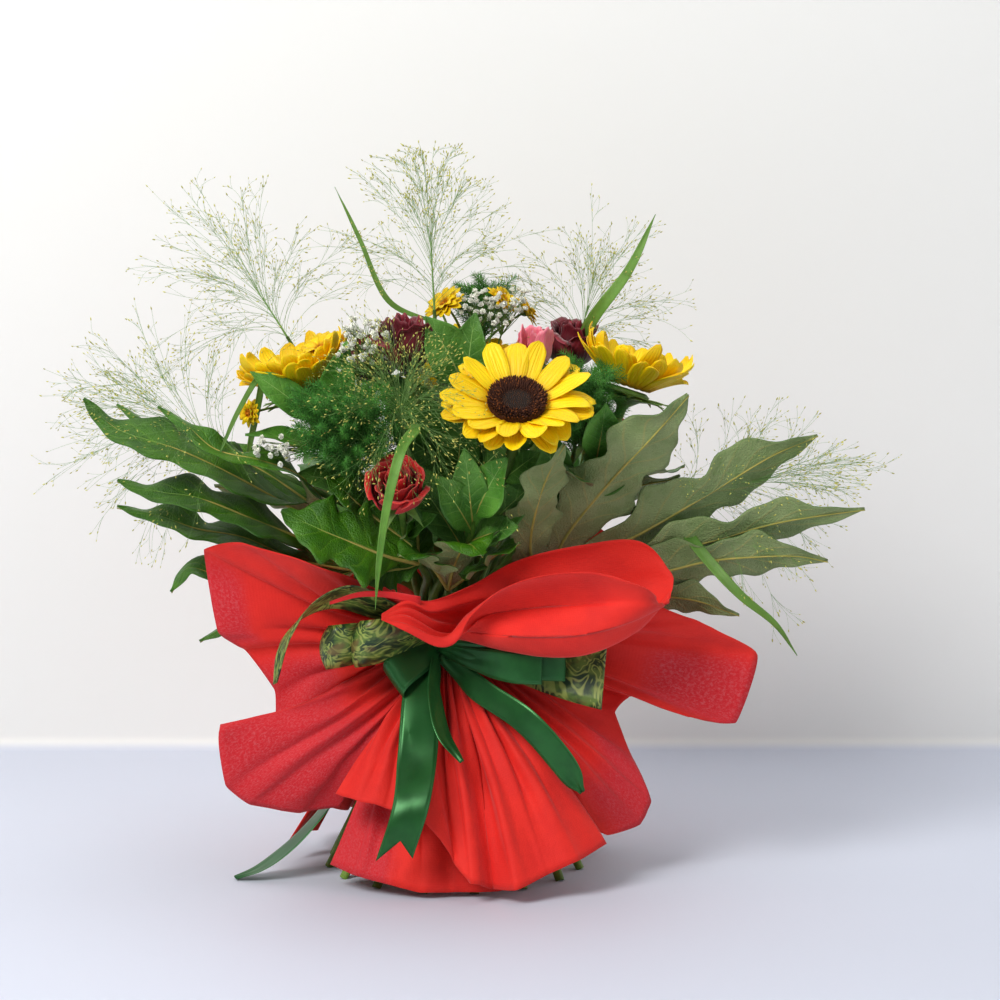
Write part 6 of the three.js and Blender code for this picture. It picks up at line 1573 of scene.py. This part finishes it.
def creases(rows, columns, seed, across, along):
    """Sharp soft-sided creases over a sheet, from 0 to 1: across and along are how many waves it holds."""
    t, s = np.meshgrid(steps(rows), steps(columns), indexing="ij")
    where = np.stack([s * across, t * along, 0 * s], -1)
    return 1 - np.abs(bumps(where, 1.0, seed)) * 2.2


PLEAT_HEIGHT = 3.2
CREASE_HEIGHT = 2.4
WRINKLE_HEIGHT = 0.5
# the sheer bands also place the wrap's painted backlight, the pale pink light shining through
# where each sheet is sheer: from and to which share across it, how softly, and from where to where along it
SHEER_BANDS = {
    "wrap_left": [(0.7, 1.05, 0.03, 0.5, 0.66), (0.46, 0.56, 0.02, 0.66, 0.76), (0.3, 0.4, 0.02, 0.86, 0.92)],
    "wrap_right": [(0.24, 0.34, 0.02, 0.7, 0.8), (0.68, 0.9, 0.03, 0.72, 0.86)],
    "wrap_front_under": [(-1, 0.36, 0.06, 0.5, 0.64)],
}


def sheerness(wrap, t, s):
    """How sheer a sheet is at each share along and across it, from 0 to 1."""
    total = 0.0 * (t + s)
    for low, high, soft, begin, end in SHEER_BANDS.get(wrap, []):
        inside = step_between(low - soft, low + soft, s) * (1 - step_between(high - soft, high + soft, s))
        total = total + inside * step_between(begin, end, t)
    return np.clip(total, 0, 1)


def wrap_piece(wrap, grid, seed, pleats, cut, neck_row, extras):
    """One sheet of the wrap: pleated from the neck, creased and a little wavy along its edge."""
    rows, columns = grid.shape[:2]
    t, s = shares_of(rows, columns, 0)
    normals = grid_normals(grid)
    away = np.abs(t - neck_row)
    pleat = np.sin(2 * math.pi * pleats * (s + 0.02 * np.sin(away * 7 + seed)) + seed)
    lift = PLEAT_HEIGHT * pleat * step_between(0.0, 0.3, away) * step_between(1.25, 0.35, away)
    large = creases(rows, columns, seed, pleats * 0.7, 1.8)
    small = creases(rows, columns, seed + 5, pleats * 2.6, 7.0)
    lift = lift + CREASE_HEIGHT * large * step_between(0.03, 0.4, away)
    lift = lift + WRINKLE_HEIGHT * small * step_between(0.05, 0.4, away)
    grid = grid + normals * lift[..., None]
    wide, long = cut
    marks = np.stack([s * wide + 0 * t, t * long + 0 * s, sheerness(wrap, t, s)], -1)
    pile = Pile()
    add_blade(pile, grid, SHEET_HALF, marks=marks)
    for extra in extras:
        add_blade(pile, extra, SHEET_HALF)
    return build(f"{wrap}_cloth", pile, ["wrap"], [wrap])


# ---------------------------------------------------------------- ribbons

# each strip: points along it, ways across it, widths, and its cut length
SATIN_STRIPS = {
    "loop_front": [
        [[-14, -42, 163], [-27, -58, 157], [-40, -70, 147], [-40, -64, 139], [-26, -52, 146],
         [-13, -43, 158]],
        [[0.55, -0.2, -0.8], [0.6, -0.1, -0.78]],
        [13, SATIN_WIDTH, SATIN_WIDTH, SATIN_WIDTH, SATIN_WIDTH, 13], 105],
    "loop_right": [
        [[-12, -42, 163], [20, -64, 160], [60, -76, 157], [76, -72, 156], [50, -66, 156], [-8, -42, 160]],
        [[0, 0.1, 1], [0.1, 0.1, 1]], [8, 18, 24, 24, 20, 8], 190],
    "loop_right_short": [
        [[-10, -43, 161], [14, -62, 157], [42, -82, 155], [60, -84, 155], [40, -76, 155], [-6, -44, 158]],
        [[0, 0.1, 1], [0.1, 0.1, 1]], [8, 16, 22, 22, 18, 8], 150],
    "tail_front": [
        [[-17, -42, 158], [-22, -66, 136], [-24, -92, 99], [-28, -122, 68], [-39, -126, 33]],
        [[1, 0.1, 0], [1, -0.1, 0.1]], [12, SATIN_WIDTH, SATIN_WIDTH + 2, SATIN_WIDTH, SATIN_WIDTH], 160],
    "tail_right": [
        [[-10, -42, 157], [4, -50, 146], [18, -64, 136], [48, -88, 120], [72, -98, 95], [87, -100, 73]],
        [[0.5, -0.2, 0.8], [0.75, -0.2, 0.6]], [9, 14, 18, 19, 18, 4], 150],
    "tail_thin": [
        [[-13, -43, 158], [-13, -80, 136], [-6, -100, 112], [6, -110, 96]],
        [[0.5, 0.8, 0.1], [0.7, 0.6, 0.2]], [10, 14, 12, 4], 95],
    "tail_floor": [
        [[-27, -17, 160], [-37, -22, 132], [-62, -30, 88], [-90, -36, 48], [-115, -44, 22], [-136, -48, 7],
         [-152, -50, 1.2]],
        [[0.5, -0.8, 0.2], [0.35, -0.9, 0.2], [0.3, -0.95, 0.1], [0.3, -0.95, 0]],
        [16, 22, SATIN_WIDTH, SATIN_WIDTH, SATIN_WIDTH, 20, 8], 215],
}
PRINTED_STRIPS = {
    "tail_wide": [
        [[-8, -37, 173], [12, -41, 162], [46, -52, 157], [80, -64, 154], [103, -71, 153]],
        [[0, 0.1, 1], [0.1, 0.3, 1]], [10, 18, 36, 50, 58], 120],
    "loop_near": [
        [[-14, -40, 172], [-36, -64, 172], [-58, -78, 171], [-65, -71, 169], [-46, -58, 168],
         [-18, -42, 168]],
        [[0.2, -0.3, 0.9], [0.1, -0.3, 0.95]], [12, 30, 36, 36, 28, 12], 130],
    "loop_far": [
        [[-14, -38, 172], [-50, -54, 169], [-80, -74, 168], [-86, -67, 166], [-66, -54, 165],
         [-22, -40, 168]],
        [[0.2, -0.2, 0.95], [0, -0.2, 0.95]], [10, 24, 32, 32, 24, 10], 170],
    "tail_left": [
        [[-14, -40, 175], [-44, -62, 190], [-76, -80, 203], [-101, -86, 192], [-115, -82, 170],
         [-121, -77, 143]],
        [[0.2, -0.6, 0.8], [0.6, -0.6, 0.4]], [10, 20, 28, 28, 16, 4], 165],
}
PRINTED_WIDTH = 58
NOTCHES = {"tail_front": 0.09}
BOW_KNOT = [-14, -36, 163]
PRINTED_KNOT = [-13, -38.5, 175]


def strip_grid(points, ways, widths, rows=48, columns=9, notch=0.0):
    """A ribbon's points along given ones, with its way across and its width at each. notch is the share
    of its length that a cut in its end goes in."""
    lines = []
    for s in np.linspace(-1, 1, columns):
        shares = np.linspace(0, 1 - notch * (1 - abs(s)), rows)
        way = unit(smooth_line(ways, shares))
        lines.append(smooth_line(points, shares) + way * (profile(widths, shares) / 2 * s)[:, None])
    return np.stack(lines, axis=1)


def ribbon_strip(base, key, strips, finish_key, width, seed):
    """One loop or tail of a bow: slightly cupped and rippled satin, gathered at the knot."""
    points, ways, widths, long = strips[key]
    grid = strip_grid(points, ways, widths, notch=NOTCHES.get(key, 0.0))
    rows, columns = grid.shape[:2]
    t, s = shares_of(rows, columns)
    tight = np.interp(t, steps(len(widths)), 1 - np.array(widths) / max(widths))
    lift = 1.1 * tight * np.cos(s * 5.5 + seed) + 0.35 * np.sin(t * 14 + s * 2 + seed)
    if base == "ribbon_printed" and "loop" in key:
        lift = lift - 5.0 * (1 - s * s) * (1 - tight)
    grid = grid + grid_normals(grid) * lift[..., None]
    pile = Pile()
    marks = np.stack([(s + 1) / 2 + 0 * t, t * long / 150 + 0 * s, np.full((rows, columns), 0.5)], -1)
    add_blade(pile, grid, RIBBON_HALF, marks=marks)
    piece = build(f"{base}_{key}", pile, [finish_key])
    share = float(np.mean(profile(widths, steps(40)))) / width


def knot(name, centre, radii, finish_key, slot, nodes, extra=None):
    """The pinched middle of a bow: a few folds of ribbon drawn round it."""
    turns = np.linspace(0, 2 * math.pi, 33)
    rise = np.linspace(-0.5 * math.pi, 0.5 * math.pi, 17)
    u, v = np.meshgrid(turns, rise, indexing="xy")
    fold = 1 + 0.07 * np.cos(v * 9 + 0.6 * np.sin(u)) * np.cos(v)
    grid = np.stack([np.cos(v) * np.cos(u) * radii[0] * fold, np.cos(v) * np.sin(u) * radii[1] * fold,
                     np.sin(v) * radii[2]], -1) + np.array(centre)
    pile = Pile()
    marks = np.stack([0.3 + 0.4 * (v / math.pi + 0.5), u / 12, 0 * u + 0.5], -1)
    pile.add(grid.reshape(-1, 3), quads(17, 33), marks.reshape(-1, 3))
    if extra is not None:
        add_blade(pile, extra, RIBBON_HALF)
    build(name, pile, [finish_key], nodes)


def band_grid():
    """The ribbon round the neck of the bundle."""
    turns = np.linspace(0, 2 * math.pi, 73)
    heights = np.linspace(-BAND_HALF_WIDTH, BAND_HALF_WIDTH, 7)
    u, h = np.meshgrid(turns, heights, indexing="xy")
    radius = BAND_RADIUS + 0.35 * np.cos(h * 1.3 + 0.4 * np.sin(u * 2))
    return np.stack([radius * np.cos(u), radius * np.sin(u), TIE_HEIGHT + h], -1)


def twine_tie():
    """Twine wound round the stems, the whole height of the tie."""
    pitch, thick = 2.6, 1.35
    turns = (2 * TIE_HALF_HEIGHT - 2 * thick) / pitch
    angle = np.linspace(0, 2 * math.pi * turns, int(turns * 56))
    height = TIE_HEIGHT - TIE_HALF_HEIGHT + thick + angle / (2 * math.pi) * pitch
    draw = np.random.RandomState(5)
    radius = TIE_RADIUS + 0.2 * draw.uniform(-1, 1, len(angle))
    line = np.stack([radius * np.cos(angle), radius * np.sin(angle), height], 1)
    pile = Pile()
    add_tube(pile, line, thick * (1 + 0.08 * np.sin(angle * 22)), 7)
    build("stem_tie_twine", pile, ["tie"], ["stem_tie"])


# ---------------------------------------------------------------- the whole bouquet

sunflower("sunflower_front", 3, 15, 0)
sunflower("sunflower_right", 5, 20, 28)
sunflower("sunflower_left", 8, 19, 28)
sunflower("sunflower_back", 12, 14, 4)

layered_bloom("rose_burgundy_left", 1, "burgundy", 1.02, 1.5, 10)
layered_bloom("rose_burgundy_right", 2, "burgundy", 1.0, 1.3, 12)
layered_bloom("rose_burgundy_back", 3, "burgundy", 1.0, 1.2, 15)
layered_bloom("rose_red_front", 4, "red", 0.95, 1.0, 22)
layered_bloom("rose_red_back", 5, "red", 0.95, 1.0, 20)
layered_bloom("pink_bloom", 6, "pink", 0.95, 1.15, 6)

for leaf_name in LOBED_LEAVES:
    lobed_leaf(leaf_name)
for sprig_name in SPRIG_LEAVES:
    sprig(sprig_name)
spray("spray_yellow_top", 101)
spray("spray_yellow_left", 131)
for filler_name in GYPSOPHILA:
    gypsophila(filler_name)
for fern_name in FERNS:
    fern(fern_name)
for panicle_name in PANICLES:
    panicle(panicle_name)
twine_tie()


FOLD_ROUNDNESS = 0.2
# each sheet: its net, rows, columns, seed, pleats, cut size, filled share and the share along it of its neck
WRAPS = {
    "wrap_left": (gathered_net(WRAP_LEFT), 48, 150, 21, 14, (525, 105), 0.48, 0.0),
    "wrap_right": (gathered_net(WRAP_RIGHT), 48, 140, 22, 13, (407, 115), 0.48, 0.0),
    "wrap_front": (gathered_net(WRAP_FRONT), 48, 120, 23, 11, (244, 170), 0.48, 0.0),
    "wrap_front_under": (gathered_net(WRAP_FRONT_UNDER), 40, 90, 24, 8, (158, 162), 0.52, 0.0),
    "wrap_back": (back_net(), 80, 150, 25, 13, (415, 300), 0.55, 0.45),
    "wrap_scroll": (SCROLL, 76, 44, 26, 4, (140, 240), 0.65, 0.0),
}
for wrap, (net, rows, columns, seed, pleats, cut, taper, neck_row) in WRAPS.items():
    cloth = smooth_grid(net, rows, columns, FOLD_ROUNDNESS)
    strips = (SCROLL_TONGUE, SCROLL_RIM) if wrap == "wrap_scroll" else ()
    extras = [strip_grid(*strip, 14, 9) for strip in strips]
    piece = wrap_piece(wrap, cloth, seed, pleats, cut, neck_row, extras)

band = band_grid()
knot("ribbon_satin_knot", BOW_KNOT, (9, 7, 7), "satin", "satin", ["ribbon_satin"], band)
knot("ribbon_printed_knot", PRINTED_KNOT, (8, 4.5, 4.5), "printed", "printed", ["ribbon_printed"])
for order, key in enumerate(SATIN_STRIPS):
    ribbon_strip("ribbon_satin", key, SATIN_STRIPS, "satin", SATIN_WIDTH + 2, order)
for order, key in enumerate(PRINTED_STRIPS):
    ribbon_strip("ribbon_printed", key, PRINTED_STRIPS, "printed", PRINTED_WIDTH, order)


# ---------------------------------------------------------------- room, light and camera

CAMERA_DISTANCE = 2000
CAMERA_ELEVATION = 7
CAMERA_TARGET = [31.5, 0, 259]
CAMERA_LENS = 102.9
SENSOR = 36
WALL_DISTANCE = 372       # the floor meets the backdrop this far behind the tie
WALL_BEND = 12
WORLD_LIGHT = 0.26        # what the world lends to the light
WORLD_SEEN = 0.72         # how bright it looks past the wall's edges
FLOOR_REACH = 3000
SWEEP_HALF_WIDTH = 4000
WALL_HEIGHT = 3000
PICTURE_SIZE = 1000
PICTURE_GAMMA = 0.9

scene = bpy.context.scene


def sweep_colour(tree):
    """Pale bluish floor that turns to a warm white wall."""
    where = node(tree, "ShaderNodeNewGeometry").outputs["Position"]
    height = node(tree, "ShaderNodeSeparateXYZ", {0: where}).outputs["Z"]
    return blend(tree, between(tree, height, 0.0, 0.008), tone(212, 217, 231), tone(242, 242, 239))


def open_from_behind(material):
    """Let a camera behind the wall look through it, so that the bouquet shows from every side."""
    tree = material.node_tree
    spot = node(tree, "ShaderNodeNewGeometry").outputs
    towards = node(tree, "ShaderNodeSeparateXYZ", {0: spot["Incoming"]}).outputs["Y"]
    height = node(tree, "ShaderNodeSeparateXYZ", {0: spot["Position"]}).outputs["Z"]
    behind = maths(tree, "GREATER_THAN", towards, 0.0)
    upright = maths(tree, "GREATER_THAN", height, WALL_BEND * MM)
    seen = node(tree, "ShaderNodeLightPath").outputs["Is Camera Ray"]
    share = maths(tree, "MULTIPLY", maths(tree, "MULTIPLY", behind, upright), seen)
    end = next(part for part in tree.nodes if part.type == "OUTPUT_MATERIAL").inputs["Surface"]
    clear = node(tree, "ShaderNodeBsdfTransparent").outputs[0]
    mixed = node(tree, "ShaderNodeMixShader", {0: share, 1: end.links[0].from_socket, 2: clear})
    tree.links.new(mixed.outputs[0], end)


def sweep():
    """The floor and, in one piece with it, the wall behind, joined by a tight curve."""
    corner = np.linspace(0, math.pi / 2, 12)
    rise = [[WALL_DISTANCE + WALL_BEND * math.sin(a), WALL_BEND * (1 - math.cos(a))] for a in corner]
    outline = np.array([[-FLOOR_REACH, 0], *rise, [WALL_DISTANCE + WALL_BEND, WALL_HEIGHT]])
    grid = np.array([[[x, y, z] for x in (-SWEEP_HALF_WIDTH, SWEEP_HALF_WIDTH)] for y, z in outline])
    mesh = bpy.data.meshes.new("sweep")
    points = in_frame(grid.reshape(-1, 3))
    faces = [tuple(face) for face in quads(len(outline), 2).tolist()]
    mesh.from_pydata([tuple(point) for point in points], [], faces)
    for face in mesh.polygons:
        face.use_smooth = True
    mesh.materials.append(finish("studio sweep", sweep_colour, 0.6))
    open_from_behind(mesh.materials[0])
    made = bpy.data.objects.new("sweep", mesh)
    scene.collection.objects.link(made)


def area_light(name, place_at, aim, size, power, colour):
    """A soft light; places in millimetres of the bouquet's frame, power in watts."""
    lamp = bpy.data.lights.new(name, "AREA")
    lamp.shape, lamp.size, lamp.energy, lamp.color = "DISK", size, power, colour
    made = bpy.data.objects.new(name, lamp)
    made.location = in_frame(place_at)
    way = Vector(in_frame(aim)) - made.location
    made.rotation_euler = way.to_track_quat("-Z", "Y").to_euler()
    scene.collection.objects.link(made)


sweep()
area_light("key light", [-1100, -1500, 1700], [0, 0, 200], 1.1, 44, (1.0, 0.98, 0.95))
area_light("fill light", [1500, -1500, 900], [0, 0, 200], 1.6, 7, (0.95, 0.97, 1.0))
area_light("top light", [200, 100, 1900], [0, 0, 200], 1.4, 9, (1.0, 1.0, 1.0))

world = bpy.data.worlds.new("studio")
world.use_nodes = True
world.node_tree.nodes["Background"].inputs["Color"].default_value = (1, 1, 1, 1)
looked_at = node(world.node_tree, "ShaderNodeLightPath").outputs["Is Camera Ray"]
strength = maths(world.node_tree, "MULTIPLY_ADD", looked_at, WORLD_SEEN - WORLD_LIGHT, WORLD_LIGHT)
world.node_tree.links.new(strength, world.node_tree.nodes["Background"].inputs["Strength"])
scene.world = world

camera = bpy.data.objects.new("camera", bpy.data.cameras.new("camera"))
camera.data.lens, camera.data.sensor_width = CAMERA_LENS, SENSOR
tilt = math.radians(CAMERA_ELEVATION)
target = Vector(in_frame(CAMERA_TARGET))
camera.location = target + Vector((0, -math.cos(tilt), math.sin(tilt))) * (CAMERA_DISTANCE * MM)
camera.rotation_euler = (target - camera.location).to_track_quat("-Z", "Y").to_euler()
scene.collection.objects.link(camera)
scene.camera = camera
scene.render.resolution_x = PICTURE_SIZE
scene.render.resolution_y = PICTURE_SIZE
scene.view_settings.view_transform = "Standard"
scene.view_settings.look = "None"
scene.view_settings.gamma = PICTURE_GAMMA
